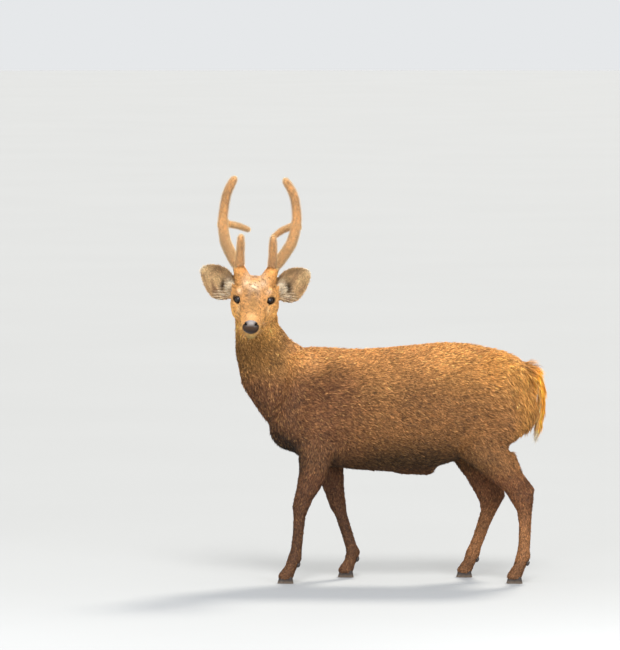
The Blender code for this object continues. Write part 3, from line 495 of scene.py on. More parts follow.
# Heights over the floor with the skin's depth under the coat there, and with the tufts' sizes and lift
SKIN_DEPTHS = ((0.03, 0.10, 0.25, 0.36), (0.0008, 0.0012, 0.0020, 0.0040))
TUFT_LENGTHS = ((0.03, 0.12, 0.22, 0.34, 0.50, 0.68), (0.005, 0.006, 0.0075, 0.0095, 0.0105, 0.011))
TUFT_BREADTHS = ((0.03, 0.12, 0.22, 0.34), (0.0011, 0.0013, 0.00135, 0.00140))
TUFT_LIFTS = ((0.03, 0.22, 0.36, 0.70), (0.15, 0.18, 0.25, 0.25))

# The coat: layers of hair over each place and the share of its box that a tuft covers, the spread of
# roll, bend and swirl, and the spread of length and lift. Then along a tuft its steps, widths and shades.
LAYERS = 2.9
TUFT_COVER = 0.7
HAIR_TURNS = 0.42
HAIR_BENDS = 0.16
HAIR_SWIRLS = 0.10
LENGTH_RANGE = (0.72, 1.28)
LIFT_RANGE = (0.6, 1.5)
TUFT_STEPS = np.array([0.0, 0.52, 1.0])
TUFT_WIDTHS = np.array([0.85, 1.00, 0.0])
TUFT_SHADES = np.array([0.60, 1.04, 1.40])
# Guard hairs: their share, and how much longer, wider and more lifted they are
GUARD_SHARE = 0.10
GUARD_EXCESS = (0.30, 0.35, 0.30)
CLUMP_SHARE = 0.60
TONE_SHARE = 0.95
SKIN_SHADE = 0.80
ANTLER_SHADE = 0.85
MOST_TUFTS = 65000
SMALLEST_SHADE = 0.003
ROOT_DEPTH = 0.0005
TUFT_POINTS = 5
TUFT_PATCH = 0.003
CLUMP_CHOICES = 5
WAYS_AT_ONCE = 20000

COAT_NAMES = [
    "coat_shoulder_left",
    "coat_shoulder_right",
    "coat_flank_left",
    "coat_flank_right",
    "coat_rump_left",
    "coat_rump_right",
    "coat_forelegs",
    "coat_hindlegs",
    "coat_neck",
    "coat_head",
    "coat_ears",
    "coat_tail",
]

# The nap on the antlers
VELVET_DEPTH = 0.0016
VELVET_SPACING = 0.00103
NAP_LENGTH = 0.0046
NAP_WIDTH = 0.00030
NAP_LIFT = 1.15
NAP_PALENESS = np.array([0, 0, 0.72, 0.72, 1.0])

# Long single hairs of the head: colour, length, width, lift, then how many
HEAD_HAIRS = {
    "lashes": ("lash", 0.0062, 0.0006, 0.40),
    "whiskers": ("whisker", 0.020, 0.00030, 0.50),
    "ear_strands": ("ear_strand", 0.024, 0.0007, 0.22),
}
LASHES = 24
WHISKERS = 30
EAR_STRANDS = 150

# Camera, sky and lamps
CAMERA_TILT = 4.0
CAMERA_AIM = (-0.183, 0.731)
CAMERA_DISTANCE = 16.0
SENSOR_WIDTH = 36
VIEW_HALF_WIDTH = 0.92857
FLOOR_RADIUS = 60
WORLD_STRENGTH = 1.00
# Round lamps: name, place, size, power. Each of the last two puts a light spot on the left eye.
FRONT_PANEL = ("panel", (-1.4, -6.0, 2.9), 1.9, 80)
FRONT_PANEL_AIM = Vector((0, 0, 0.7))
EYE_PANELS = [
    ("panel_left", (1.11, -2.15, 1.00), 1.15, 26),
    ("panel_right", (-2.08, -1.93, 1.04), 1.05, 18),
]
# Suns: name, where it shines from, width in degrees, power, colour
LIGHTS = [
    ("key", (0.3, -3.8, 5.0), 20, 2.45, (1.0, 0.96, 0.89)),
    ("back", (1.5, 3.4, 5.0), 14, 3.20, (1.0, 0.93, 0.80)),
]


def matrix_in_body(x, y, z, rx, ry, rz, side=1):
    """The matrix that makes a unit sphere that ellipsoid of the body."""
    return Matrix.Translation((x, y * side, z)) @ Matrix.Diagonal((rx, ry, rz, 1))


def matrix_in_head(forward, left, up, rf, rl, ru, side=1):
    """The same in the head's frame."""
    centre = Matrix.Translation((left * side, -forward, up))
    return HEAD_FRAME @ centre @ Matrix.Diagonal((rl, rf, ru, 1))


def body_row(masses, side=1):
    return [matrix_in_body(*mass, side) for mass in masses]


def head_row(masses, side=1):
    return [matrix_in_head(*mass, side) for mass in masses]


def head_point(forward, left, up):
    return HEAD_FRAME @ Vector((left, -forward, up))


def head_direction(forward, left, up):
    return (HEAD_FRAME.to_3x3() @ Vector((left, -forward, up))).normalized()


def add_mass(bm, matrix, segments=16, rings=10):
    bmesh.ops.create_uvsphere(bm, u_segments=segments, v_segments=rings, radius=1, matrix=matrix)


def add_chain(bm, matrices, segments=16, rings=10):
    """Ellipsoids in a row, with the hull of each two neighbours."""
    for pair in zip(matrices, matrices[1:]):
        link = bmesh.new()
        for matrix in pair:
            add_mass(link, matrix, segments, rings)
        made = bmesh.ops.convex_hull(link, input=link.verts)
        inner = {v for v in made["geom_interior"] if isinstance(v, bmesh.types.BMVert)}
        bmesh.ops.delete(link, geom=list(inner), context="VERTS")
        mesh = bpy.data.meshes.new("link")
        link.to_mesh(mesh)
        link.free()
        bm.from_mesh(mesh)
        bpy.data.meshes.remove(mesh)


def close_rings(bm, rings):
    """Walls between each two neighbouring rings of points, and a face over either end."""
    for one, two in zip(rings, rings[1:]):
        for n in range(len(one)):
            m = (n + 1) % len(one)
            bm.faces.new((one[n], one[m], two[m], two[n]))
    bm.faces.new(rings[0])
    bm.faces.new(rings[-1])


def new_object(name, bm):
    mesh = bpy.data.meshes.new(name)
    bm.to_mesh(mesh)
    bm.free()
    made = bpy.data.objects.new(name, mesh)
    bpy.context.scene.collection.objects.link(made)
    return made


def apply_modifiers(obj):
    graph = bpy.context.evaluated_depsgraph_get()
    mesh = bpy.data.meshes.new_from_object(obj.evaluated_get(graph))
    obj.modifiers.clear()
    old = obj.data
    obj.data = mesh
    bpy.data.meshes.remove(old)
    return obj


def trunk_masses(bm):
    rings = [
        (x, 0, (top + bottom) / 2, TORSO_RING, half, (top - bottom) / 2) for x, top, bottom, half in TORSO
    ]
    add_chain(bm, body_row(rings), 24, 14)
    add_chain(bm, body_row(NECK), 20, 12)
    add_chain(bm, body_row(SHEATH))
    add_chain(bm, body_row(TAIL[:2]))
    add_mass(bm, matrix_in_body(*BRISKET), 20, 12)
    for leg, side in LEGS.values():
        add_chain(bm, body_row(leg["girdle"], -side))
        add_chain(bm, body_row(leg["shank"][:3], -side))
        for mass in leg["muscle"]:
            add_mass(bm, matrix_in_body(*mass, -side), 20, 12)


def limb_masses(bm):
    for leg, side in LEGS.values():
        add_chain(bm, body_row(leg["shank"][1:], -side))
        if "hamstring" in leg:
            add_chain(bm, body_row(leg["hamstring"], -side))


def skull_masses(bm):
    add_chain(bm, head_row(SKULL), 24, 14)
    add_chain(bm, body_row(NECK[2:]), 20, 12)
    for side in (LEFT, RIGHT):
        for mass in (ORBIT, BROW):
            add_mass(bm, matrix_in_head(*mass, side), 20, 12)
        add_chain(bm, head_row(CHEEK, side))
        add_chain(bm, head_row(PEDICLE, side))


def head_masses(bm):
    add_mass(bm, matrix_in_head(*NOSE_END))
    add_mass(bm, matrix_in_head(*CHIN))
    for side in (LEFT, RIGHT):
        lid = EYE_RADIUS + LID
        add_mass(bm, matrix_in_head(*EYE, lid, lid, lid, side), 24, 16)
        add_chain(bm, head_row(PEDICLE, side))
        add_chain(bm, head_row(EAR_STUB, side))
        add_ear(bm, side)


def add_ear(bm, side):
    """The cupped leaf as a closed sheet, seen edge on along the line of sight that the head faces."""
    sheets = ([], [])
    for along, low, high, depth in EAR_LEAF:
        rows = ([], [])
        for n in range(EAR_COLUMNS + 1):
            across = -1 + 2 * n / EAR_COLUMNS
            off = (low + high) / 2 + across * (high - low) / 2
            back = depth * (1 - abs(across) ** 2.2)
            lateral = along * math.cos(EAR_RISE) - off * math.sin(EAR_RISE)
            vertical = along * math.sin(EAR_RISE) + off * math.cos(EAR_RISE)
            for row, extra in zip(rows, (0.0, EAR_THICKNESS)):
                spread = 1 + extra * 4 * abs(across)
                toward = 0.010 - back - extra + 0.22 * along
                forward = toward * math.cos(EAR_TILT) + vertical * math.sin(EAR_TILT)
                up = -toward * math.sin(EAR_TILT) + vertical * math.cos(EAR_TILT)
                point = (EAR_BASE[0] + forward, EAR_BASE[1] + lateral * spread, EAR_BASE[2] + up)
                row.append(bm.verts.new(head_point(point[0], point[1] * side, point[2])))
        for sheet, row in zip(sheets, rows):
            sheet.append(row)
    last = len(EAR_LEAF) - 1
    for sheet in sheets:
        for m in range(last):
            for n in range(EAR_COLUMNS):
                bm.faces.new((sheet[m][n], sheet[m + 1][n], sheet[m + 1][n + 1], sheet[m][n + 1]))
    inner, outer = sheets
    for m in range(last):
        for n in (0, EAR_COLUMNS):
            bm.faces.new((inner[m][n], inner[m + 1][n], outer[m + 1][n], outer[m][n]))
    for m in (0, last):
        for n in range(EAR_COLUMNS):
            bm.faces.new((inner[m][n], inner[m][n + 1], outer[m][n + 1], outer[m][n]))


def dewclaw_matrix(spot):
    return Matrix.Translation(spot) @ Matrix.Rotation(DEWCLAW_TURN, 4, "Y") @ Matrix.Diagonal((*DEWCLAW, 1))


def dewclaw_spots(name, side):
    x, z = DEWCLAWS[name]
    return [Vector((x, -side * FOOT_OUT + n * DEWCLAW_SPREAD, z)) for n in (-1, 1)]


def gaze(side):
    return head_direction(math.cos(GAZE_OUT), math.sin(GAZE_OUT) * side, 0.04)


def eye_point(side):
    return head_point(EYE.x, EYE.y * side, EYE.z)


def eye_frame(side):
    """The gaze, the way to the inner corner, and up, as they lie on one eye."""
    look = gaze(side)
    up = head_direction(0.10, 0.0, 1.0)
    up = (up - up.dot(look) * look).normalized()
    inward = look.cross(up)
    if inward.dot(head_direction(0.3, -side, 0)) < 0:
        inward = -inward
    return look, inward, up


def lid_opening(side):
    """An almond-shaped plug that opens the lids in front of the eye."""
    look, _, up = eye_frame(side)
    across = look.cross(up) * -side
    bm = bmesh.new()
    rings = []
    wide, high = LID_OPENING
    for out, grow in ((0.004, 0.80), (0.030, 1.25)):
        ring = []
        for n in range(LID_STEPS):
            turn = 2 * math.pi * n / LID_STEPS
            x = math.cos(turn) * wide / 2
            y = math.copysign(abs(math.sin(turn)) ** 1.15, math.sin(turn)) * high / 2
            y += 0.0010 * math.sin(turn) ** 2 - x * 0.10
            ring.append(bm.verts.new(eye_point(side) + look * out + grow * (across * x + up * y)))
        rings.append(ring)
    close_rings(bm, rings)
    bmesh.ops.recalc_face_normals(bm, faces=bm.faces)
    return new_object("lid opening", bm)


def mouth_line(head):
    """A thin wedge round the muzzle, between the lips."""
    surface = BVHTree.FromObject(head, bpy.context.evaluated_depsgraph_get())
    bm = bmesh.new()
    rings = []
    for n in range(MOUTH_STEPS + 1):
        turn = math.radians(-100 + 200 * n / MOUTH_STEPS)
        back = MOUTH_BACK + 0.002 * abs(turn)
        up = MOUTH_LEVEL - 0.0045 * (abs(turn) / 1.75) ** 2
        origin = head_point(back, 0, up)
        out = head_direction(math.cos(turn), math.sin(turn), 0)
        far = origin + out * 0.09
        hit = surface.ray_cast(far, -out, 0.09)[0]
        fade = min(1.0, (MOUTH_STEPS / 2 - abs(n - MOUTH_STEPS / 2)) / 3)
        lift = head_direction(0, 0, 1)
        ring = []
        for reach, half in ((0.0025, 0.0009), (-0.0008 - 0.0032 * fade, 0.00025)):
            for sign in (1, -1):
                ring.append(bm.verts.new(hit + out * reach + lift * half * sign))
        rings.append([ring[0], ring[1], ring[3], ring[2]])
    close_rings(bm, rings)
    bmesh.ops.recalc_face_normals(bm, faces=bm.faces)
    return new_object("mouth line", bm)


def mass_object(name, matrix, segments=24, rings=16):
    bm = bmesh.new()
    add_mass(bm, matrix, segments, rings)
    return new_object(name, bm)


def nostril(side):
    forward, left, up, rf, rl, ru = NOSTRIL
    spot = Matrix.Translation((left * side, -forward, up))
    turn = Matrix.Rotation(math.radians(-38 * side), 4, "Z")
    roll = Matrix.Rotation(math.radians(24 * side), 4, "Y")
    return HEAD_FRAME @ spot @ (turn @ roll) @ Matrix.Diagonal((rl, rf, ru, 1))


def ball(side, extra=0.0):
    radius = EYE_RADIUS + extra
    turn = gaze(side).to_track_quat("Z", "Y").to_matrix().to_4x4()
    return Matrix.Translation(eye_point(side)) @ turn @ Matrix.Diagonal((radius, radius, radius, 1))


def coronet(side):
    """A point on the face between pedicle and antler, and the way that the antler leaves it."""
    spot = head_point(CORONET.x, CORONET.y * side, CORONET.z)
    return spot, head_direction(-0.030, 0.022 * side, 0.037)


def antler_point(forward, left, up, side):
    """Both antlers lean a little to the stag's left at half height."""
    above = up - CORONET.z
    lean = ANTLER_LEAN * above * (1 - (above / ANTLER_TALL) ** 2)
    return head_point(forward, left * side + lean, up)


def antler_chain(stations, side):
    return [
        Matrix.Translation(antler_point(forward, left, up, side)) @ Matrix.Scale(radius, 4)
        for forward, left, up, radius in stations
    ]


def antler_chains(name, side):
    return [antler_chain(stations, side) for stations in (BEAM, BROW_TINE, INNER_TINE[name])]


def fuse(obj, voxel, smoothing):
    """One closed smooth surface from overlapping masses."""
    remesh = obj.modifiers.new("fuse", "REMESH")
    remesh.mode = "VOXEL"
    remesh.voxel_size = voxel
    smooth = obj.modifiers.new("smooth", "SMOOTH")
    smooth.factor = 0.5
    smooth.iterations = smoothing
    return apply_modifiers(obj)


def add_fused(bm, add_masses, voxel, smoothing):
    """Adds the strongly blended surface of some masses."""
    masses = bmesh.new()
    add_masses(masses)
    base = fuse(new_object("base", masses), voxel, smoothing)
    bm.from_mesh(base.data)
    bpy.data.objects.remove(base)


def trim(obj, cutter, operation="DIFFERENCE"):
    boolean = obj.modifiers.new("trim", "BOOLEAN")
    boolean.operation = operation
    boolean.solver = "MANIFOLD"
    boolean.object = cutter
    apply_modifiers(obj)
    bpy.data.objects.remove(cutter)


def half_space(centre, normal, size):
    """A cube that lies wholly on the side that the normal points to."""
    facing = normal.normalized()
    upright = head_direction(0, 0, 1)
    edge = (upright - upright.dot(facing) * facing).normalized()
    turn = Matrix((edge, facing.cross(edge), facing)).transposed().to_4x4()
    bm = bmesh.new()
    middle = Matrix.Translation(centre + facing * size / 2)
    bmesh.ops.create_cube(bm, size=size, matrix=middle @ turn)
    return new_object("half space", bm)


def joined(name, objects):
    bm = bmesh.new()
    for obj in objects:
        obj.data.transform(obj.matrix_world)
        bm.from_mesh(obj.data)
        bpy.data.objects.remove(obj)
    return new_object(name, bm)


def nostrils():
    return joined("nostrils", [mass_object("nostril", nostril(side), 32, 20) for side in (LEFT, RIGHT)])


def move_points(obj, points):
    obj.data.vertices.foreach_set("co", points.astype(np.float32).ravel())
    obj.data.update()


def read(collection, field, width, kind=np.float32):
    values = np.empty(len(collection) * width, kind)
    collection.foreach_get(field, values)
    return values.reshape(-1, width) if width > 1 else values


def points_of(mesh):
    return read(mesh.vertices, "co", 3).astype(float)


def normals_of(mesh):
    return read(mesh.vertex_normals, "vector", 3).astype(float)


def unit(vectors):
    return vectors / np.maximum(np.linalg.norm(vectors, axis=-1, keepdims=True), 1e-9)


def along_surface(ways, normals):
    """The part of each way that lies in the surface, one long."""
    return unit(ways - normals * (ways * normals).sum(1, keepdims=True))


def step(low, high, values):
    """From 0 at low to 1 at high, with soft ends."""
    t = np.clip((values - low) / (high - low), 0, 1)
    return t * t * (3 - 2 * t)


def blend(start, end, share):
    return start + (end - start) * share


def patches(points, scale, seed):
    """Soft random patches, about -1 to 1, with features about 3 / scale across."""
    draw = np.random.default_rng(seed)
    total = np.zeros(len(points))
    for _ in range(7):
        way = unit(draw.normal(size=3)) * scale * draw.uniform(0.6, 1.7)
        total += np.sin(points @ way + draw.uniform(0, 6.28))
    return total / 3.0


def linear(name):
    """A colour of the table, linear."""
    values = np.array([int(COLOURS[name][n : n + 2], 16) / 255 for n in (0, 2, 4)])
    return np.where(values <= 0.04045, values / 12.92, ((values + 0.055) / 1.055) ** 2.4)


def in_head(points):
    """Forward, left and up of each point in the head's frame."""
    turn = np.array(HEAD_FRAME.inverted())
    local = points @ turn[:3, :3].T + turn[:3, 3]
    return np.stack([-local[:, 1], local[:, 0], local[:, 2]], axis=1)


def in_ear(local):
    """Along the ear from its root, across it from -1 to 1, and how far off its inner face."""
    lateral = np.abs(local[:, 1]) - EAR_BASE[1]
    ahead = local[:, 0] - EAR_BASE[0]
    rise = local[:, 2] - EAR_BASE[2]
    toward = ahead * math.cos(EAR_TILT) - rise * math.sin(EAR_TILT)
    vertical = ahead * math.sin(EAR_TILT) + rise * math.cos(EAR_TILT)
    along = lateral * math.cos(EAR_RISE) + vertical * math.sin(EAR_RISE)
    off = -lateral * math.sin(EAR_RISE) + vertical * math.cos(EAR_RISE)
    at, low, high, depth = np.array(EAR_LEAF).T
    low, high, depth = (np.interp(along, at, edge) for edge in (low, high, depth))
    across = (off - (low + high) / 2) / ((high - low) / 2)
    face = 0.010 - depth * (1 - np.minimum(np.abs(across), 1) ** 2.2) + 0.22 * along
    return along, across, toward - face


class Place:
    """Where some points of the skin are: shares of head, ear, tail, leg and neck, and local coordinates."""

    def __init__(self, points, normals):
        self.points, self.normals = points, normals
        self.x, self.y, self.z = points.T
        self.local = in_head(points)
        cut, facing = HEAD_CUT
        above = (points - np.array(cut)) @ np.array(facing.normalized())
        self.head = step(-0.012, 0.012, above) * (self.z > 0.70)
        self.along, self.across, self.off = in_ear(self.local)
        out = np.abs(self.local[:, 1])
        ear = (self.along > 0.006) & (np.abs(self.across) < 1.25) & (self.head > 0.5)
        ear &= (np.abs(self.off) < 0.010) & (out > 0.060) | (np.abs(self.off) < 0.026) & (out > 0.0665)
        self.ear = ear * step(0.004, 0.016, self.along)
        toward = head_direction(math.cos(EAR_TILT), 0, -math.sin(EAR_TILT))
        self.inner = ear & (normals @ np.array(toward) > -0.05) & (np.abs(self.across) < 1.06)
        self.tail = step(0.440, 0.458, self.x) * step(0.645, 0.600, self.z) * (np.abs(self.y) < 0.04)
        self.tail *= self.x > 0.438 + 0.35 * (self.z - 0.58)
        self.leg = step(0.345, 0.285, self.z)
        self.neck = step(-0.215, -0.285, self.x) * step(0.56, 0.64, self.z) * (1 - self.head)

    def spot(self, centre, radii):
        """A soft round patch in the head's frame, on both sides alike."""
        local = self.local.copy()
        local[:, 1] = np.abs(local[:, 1])
        return np.exp(-((((local - centre) / radii) ** 2).sum(axis=1)))


def place_of(obj):
    return Place(points_of(obj.data), normals_of(obj.data))


def pad_reach(place, size=1.0):
    """How far out of the nose pad's middle each point lies, squared, with 1 on its edge."""
    return (((place.local - np.array(NOSE_PAD[:3])) / (np.array(NOSE_PAD[3:]) * size)) ** 2).sum(1)


def eye_rim(place):
    """How dark the lids are at each point."""
    dark = np.zeros(len(place.points))
    for side in (LEFT, RIGHT):
        look, inward, up = (np.array(way) for way in eye_frame(side))
        away = place.points - np.array(eye_point(side))
        near = (np.linalg.norm(away, axis=1) < 0.034) & (away @ look > 0.002)
        aside, above = away @ inward, away @ up
        wide, high = (size / 2 for size in LID_OPENING)
        reach = np.sqrt((aside / wide) ** 2 + (above / high) ** 2)
        dark = np.maximum(dark, near * step(1.13 + 0.14 * np.clip(aside / wide, 0, 1), 1.00, reach))
        corner = np.exp(-(((aside - 0.0175) / 0.0055) ** 2) - ((above + 0.0050) / 0.0028) ** 2)
        dark = np.maximum(dark, near * corner)
    return dark


def markings(place):
    """The colour of skin and coat at each point, linear."""
    x, z = place.x, place.z
    colour = np.tile(linear("flank"), (len(x), 1))

    def over(name, share):
        nonlocal colour
        colour = blend(colour, linear(name), np.clip(share, 0, 1)[:, None])

    soft = patches(place.points, 26, 5) * 0.02
    # Painted sunlight: paler and more golden towards the top of the body.
    over("back", step(0.52, 0.68, z + soft) * 0.75)
    over("rump", step(0.10, 0.42, x + soft) * step(0.46, 0.64, z + soft) * 0.80)
    over("rump", step(0.395, 0.450, x + soft) * step(0.36, 0.44, z) * 0.6)
    over("shoulder", step(0.06, -0.14, x + soft) * step(0.66, 0.54, z) * 0.9)
    # The belly's dark colour, partly painted shade under the body; less of it where the sides face outward.
    outer = np.clip(np.abs(place.normals[:, 1]) * 1.6 - 0.4, 0, 1)
    outer = outer * np.maximum(step(0.0, -0.06, x), step(0.16, 0.24, x))
    over("belly_and_shade", step(0.45, 0.35, z + soft) * step(0.40, 0.28, x) * 0.9 * (1 - 0.55 * outer))
    over("belly_and_shade", step(0.47, 0.38, z + soft) * step(-0.18, -0.24, x) * 0.25)
    # The chest's dark colour, with painted shade where it faces down and forward.
    facing = (place.normals @ np.array([-0.5, 0, -0.85])) * step(0.47, 0.40, z) * step(-0.16, -0.24, x)
    over("chest", np.clip(facing, 0, 1))
    over("neck", place.neck)
    over("throat", place.neck * step(0.66, 0.76, z) * 0.9)
    # Darker towards the bottom of the chest: partly its own colour, partly painted shade under the body.
    over("chest", step(0.58, 0.47, z + soft) * step(-0.16, -0.24, x) * 0.30)
    over("leg", place.leg * 0.9)
    over("shin", place.leg * step(0.0, -0.1, x) * 0.70)
    over("shin", step(0.25, 0.17, z) * step(0.2, 0.1, x))
    over("cannon", step(0.24, 0.15, z) * step(0.1, 0.2, x) * 0.9)
    hock = np.exp(-(((z - 0.25) / 0.035) ** 2)) * step(0.1, 0.2, x) * np.clip(place.normals[:, 0], 0, 1)
    over("shin", hock * 0.9)
    over("pastern", step(0.085, 0.05, z) * 0.7)
    # The golden jaw colour carried below the jaw, partly painted light where the jaw shades the throat.
    below_jaw = np.exp(-(((np.abs(x + 0.340) - 0.038) / 0.026) ** 2) - ((z - 0.742) / 0.036) ** 2)
    over("jaw", below_jaw * step(0.05, 0.00, place.y) * (1 - place.head) * 0.9)
    over("face", place.head)
    over("jaw", place.head * step(0.030, 0.060, np.abs(place.local[:, 1])) * 0.4)
    face = place.head * (1 - place.ear)
    over("neck", face * step(-0.070, -0.105, place.local[:, 0]) * step(0.075, 0.045, place.local[:, 2]))
    for name, forward, left, up, rf, rl, ru, strength in FACE_PATCHES:
        over(name, face * strength * place.spot((forward, left, up), (rf, rl, ru)))
    for side in (LEFT, RIGHT):
        spot, rising = coronet(side)
        away = place.points - np.array(spot)
        ring = step(-0.0075, -0.0020, away @ np.array(rising)) * (np.linalg.norm(away, axis=1) < 0.026)
        over("pale", ring * 0.8)
    over("rim", face * eye_rim(place) * 0.95)
    # Dark skin at the edge of the nose pad, and painted shade inside the nostrils.
    over("rim", step(1.12, 1.02, pad_reach(place)))
    colour_ear(place, over)
    over("tail", place.tail)
    over("tail_tip", place.tail * step(0.455, 0.415, z + soft) * 0.9)
    over("tail_tip", place.tail * np.clip(-place.normals[:, 0] * 2, 0, 1) * 0.25)
    fleck = step(0.45, 1.0, patches(place.points, 620, 8)) * step(0.135, 0.09, place.local[:, 0])
    fleck *= step(0.068, 0.052, place.local[:, 2])
    over("crown", face * fleck * 0.70)
    speckle = 1 + 0.08 * patches(place.points, 60, 3)
    speckle = speckle + (0.07 + 0.06 * face) * patches(place.points, 240, 4)
    return np.clip(colour * speckle[:, None], 0.004, 1)


def colour_ear(place, over):
    """Pale pink-grey inside with painted shade in the hollow, a pale ridge, pale strands and brown mottling.
    """
    over("ear_back", place.ear)
    inner = place.inner * place.ear
    along, across = place.along, place.across

    def patch(at, middle, length, width):
        return np.exp(-(((along - at) / length) ** 2) - ((across - middle) / width) ** 2)

    mottled = np.clip(patches(place.points, 170, 31) + 0.5 * patches(place.points, 460, 32), 0, 1)
    rise = along * math.sin(EAR_RISE) + across * 0.038 * math.cos(EAR_RISE)
    lines = np.sin(rise * 850 + 1.2 * np.sin(along * 90))
    near_root = step(0.062, 0.040, along) * step(0.55, 0.25, across)
    over("ear_inner", inner)
    # Brown upper inside of the ear: partly its own colour, partly painted shade under the upper edge.
    over("ear_rim", inner * patch(0.082, 0.70, 0.030, 0.38) * 0.6)
    over("ear_brown", inner * patch(0.040, -0.62, 0.030, 0.42) * (0.25 + 0.6 * mottled))
    over("ear_brown", inner * mottled * 0.38)
    # Painted shade in the dark lines between the pale ones near the root.
    over("ear_hollow", inner * near_root * np.clip(lines, 0, 1) * 0.65)
    over("ear_pale", inner * near_root * np.clip(-lines, 0, 1) * 0.75)
    over("ear_pale", inner * patch(0.035, 0.52, 0.014, 0.26) * 0.85)
    # Painted shade in the deep of the cup, and under the upper edge near the root.
    ahead, beside = along - 0.047, across * 0.038
    hollow = ((ahead * 0.6 + beside * 0.8) / 0.017) ** 2 + ((ahead * 0.8 - beside * 0.6) / 0.0075) ** 2
    over("ear_hollow", inner * np.exp(-hollow) * 0.97)
    over("ear_hollow", inner * step(0.70, 0.95, across) * step(0.060, 0.030, along) * 0.9)
    over("ear_rim", inner * step(0.91, 1.02, np.abs(across)) * 0.5)
    over("ear_pale", place.ear * step(0.113, 0.121, along) * 0.5)


def coat_depth(place):
    """How far the skin lies inside the surface of the flesh."""
    depth = blend(np.interp(place.z, *SKIN_DEPTHS), 0.0011, place.head)
    return blend(blend(depth, 0.0004, place.ear), 0.0050, place.tail)


def build_skin():
    """All flesh as one surface, inside the coat."""
    bm = bmesh.new()
    add_fused(bm, trunk_masses, TRUNK_VOXEL, TRUNK_SMOOTHING)
    add_fused(bm, skull_masses, SKULL_VOXEL, SKULL_SMOOTHING)
    limb_masses(bm)
    head_masses(bm)
    add_chain(bm, body_row(TAIL))
    skin = fuse(new_object("skin", bm), SKIN_VOXEL, HEAD_SMOOTHING)
    place = place_of(skin)
    group = skin.vertex_groups.new(name="body")
    group.add(np.flatnonzero((place.head < 0.5) & (place.tail < 0.5)).tolist(), 1.0, "REPLACE")
    smooth = skin.modifiers.new("smooth", "SMOOTH")
    smooth.factor = 0.5
    smooth.iterations = BODY_SMOOTHING
    smooth.vertex_group = "body"
    apply_modifiers(skin)
    place = place_of(skin)
    move_points(skin, place.points - place.normals * coat_depth(place)[:, None])
    for side in (LEFT, RIGHT):
        spot, rising = coronet(side)
        trim(skin, half_space(spot, rising, 0.05))
    trim(skin, mouth_line(skin))
    sockets = [mass_object("socket", ball(side, SOCKET_ROOM), 48, 32) for side in (LEFT, RIGHT)]
    trim(skin, joined("sockets", sockets))
    trim(skin, joined("openings", [lid_opening(side) for side in (LEFT, RIGHT)]))
    trim(skin, nostrils())
    group = skin.vertex_groups.get("body") or skin.vertex_groups.new(name="body")
    place = place_of(skin)
    group.add(np.flatnonzero(place.head < 0.5).tolist(), 1.0, "REPLACE")
    group.remove(np.flatnonzero(place.head >= 0.5).tolist())
    count = sum(read(skin.data.polygons, "loop_total", 1, np.int32) - 2)
    decimate = skin.modifiers.new("thin out", "DECIMATE")
    decimate.ratio = SKIN_TRIANGLES / count
    decimate.vertex_group = "body"
    apply_modifiers(skin)
    skin.vertex_groups.clear()
    return skin


def unwrap(obj):
    """An unwrap of the piece's own shape, in a UV map named OFBake."""
    for other in bpy.context.scene.objects:
        other.select_set(other is obj)
    bpy.context.view_layer.objects.active = obj
    obj.data.uv_layers.new(name="OFBake")
    bpy.ops.object.mode_set(mode="EDIT")
    bpy.ops.mesh.select_all(action="SELECT")
    bpy.ops.uv.smart_project(angle_limit=math.radians(66), island_margin=0.002)
    bpy.ops.object.mode_set(mode="OBJECT")


def tint(mesh, colours):
    """Stores one linear colour a point."""
    layer = mesh.color_attributes.new("tint", "FLOAT_COLOR", "POINT")
    values = np.ones((len(colours), 4), np.float32)
    values[:, :3] = colours
    layer.data.foreach_set("color", values.ravel())


def shade_smooth(obj):
    obj.data.polygons.foreach_set("use_smooth", np.ones(len(obj.data.polygons), bool))
    obj.data.update()


def chain_ways(spots, ways, matrices, shift=0.0):
    """Six points round each mass of a chain, with the way to the next mass."""
    for one, two in zip(matrices, matrices[1:]):
        way = (two.translation - one.translation).normalized() + Vector((shift, 0, 0))
        for axis in range(3):
            for sign in (1, -1):
                end = Vector((0, 0, 0))
                end[axis] = sign
                spots.append(one @ end)
                ways.append(way)


def lie_samples():
    """Points all over the animal with the way that the hair lies there."""
    spots, ways = [], []
    for x, top, bottom, half in TORSO:
        for n in range(14):
            turn = 2 * math.pi * n / 14
            s = math.sin(turn)
            down = 0.42 * (1 - max(s, 0)) * (1 - 0.5 * max(-s, 0))
            chest = max(0.0, min(1.0, (-0.19 - x) / 0.06))
            rump = max(0.0, min(1.0, (x - 0.36) / 0.06))
            way = Vector((1 - 0.75 * chest - 0.6 * rump, 0, -down - 0.9 * chest - 0.9 * rump))
            spots.append(Vector((x, half * math.cos(turn), (top + bottom) / 2 + s * (top - bottom) / 2)))
            ways.append(way)
    chain_ways(spots, ways, body_row(reversed(NECK)), 0.15)
    for leg, side in LEGS.values():
        chain_ways(spots, ways, body_row(leg["shank"], -side))
    chain_ways(spots, ways, body_row(TAIL))
    chain_ways(spots, ways, head_row(reversed(SKULL)))
    for forward, left, up, fore, out, rise in HEAD_WAYS:
        for side in (LEFT, RIGHT):
            spots.append(head_point(forward, left * side, up))
            ways.append(head_direction(fore, out * side, rise))
    return np.array(spots), unit(np.array(ways))


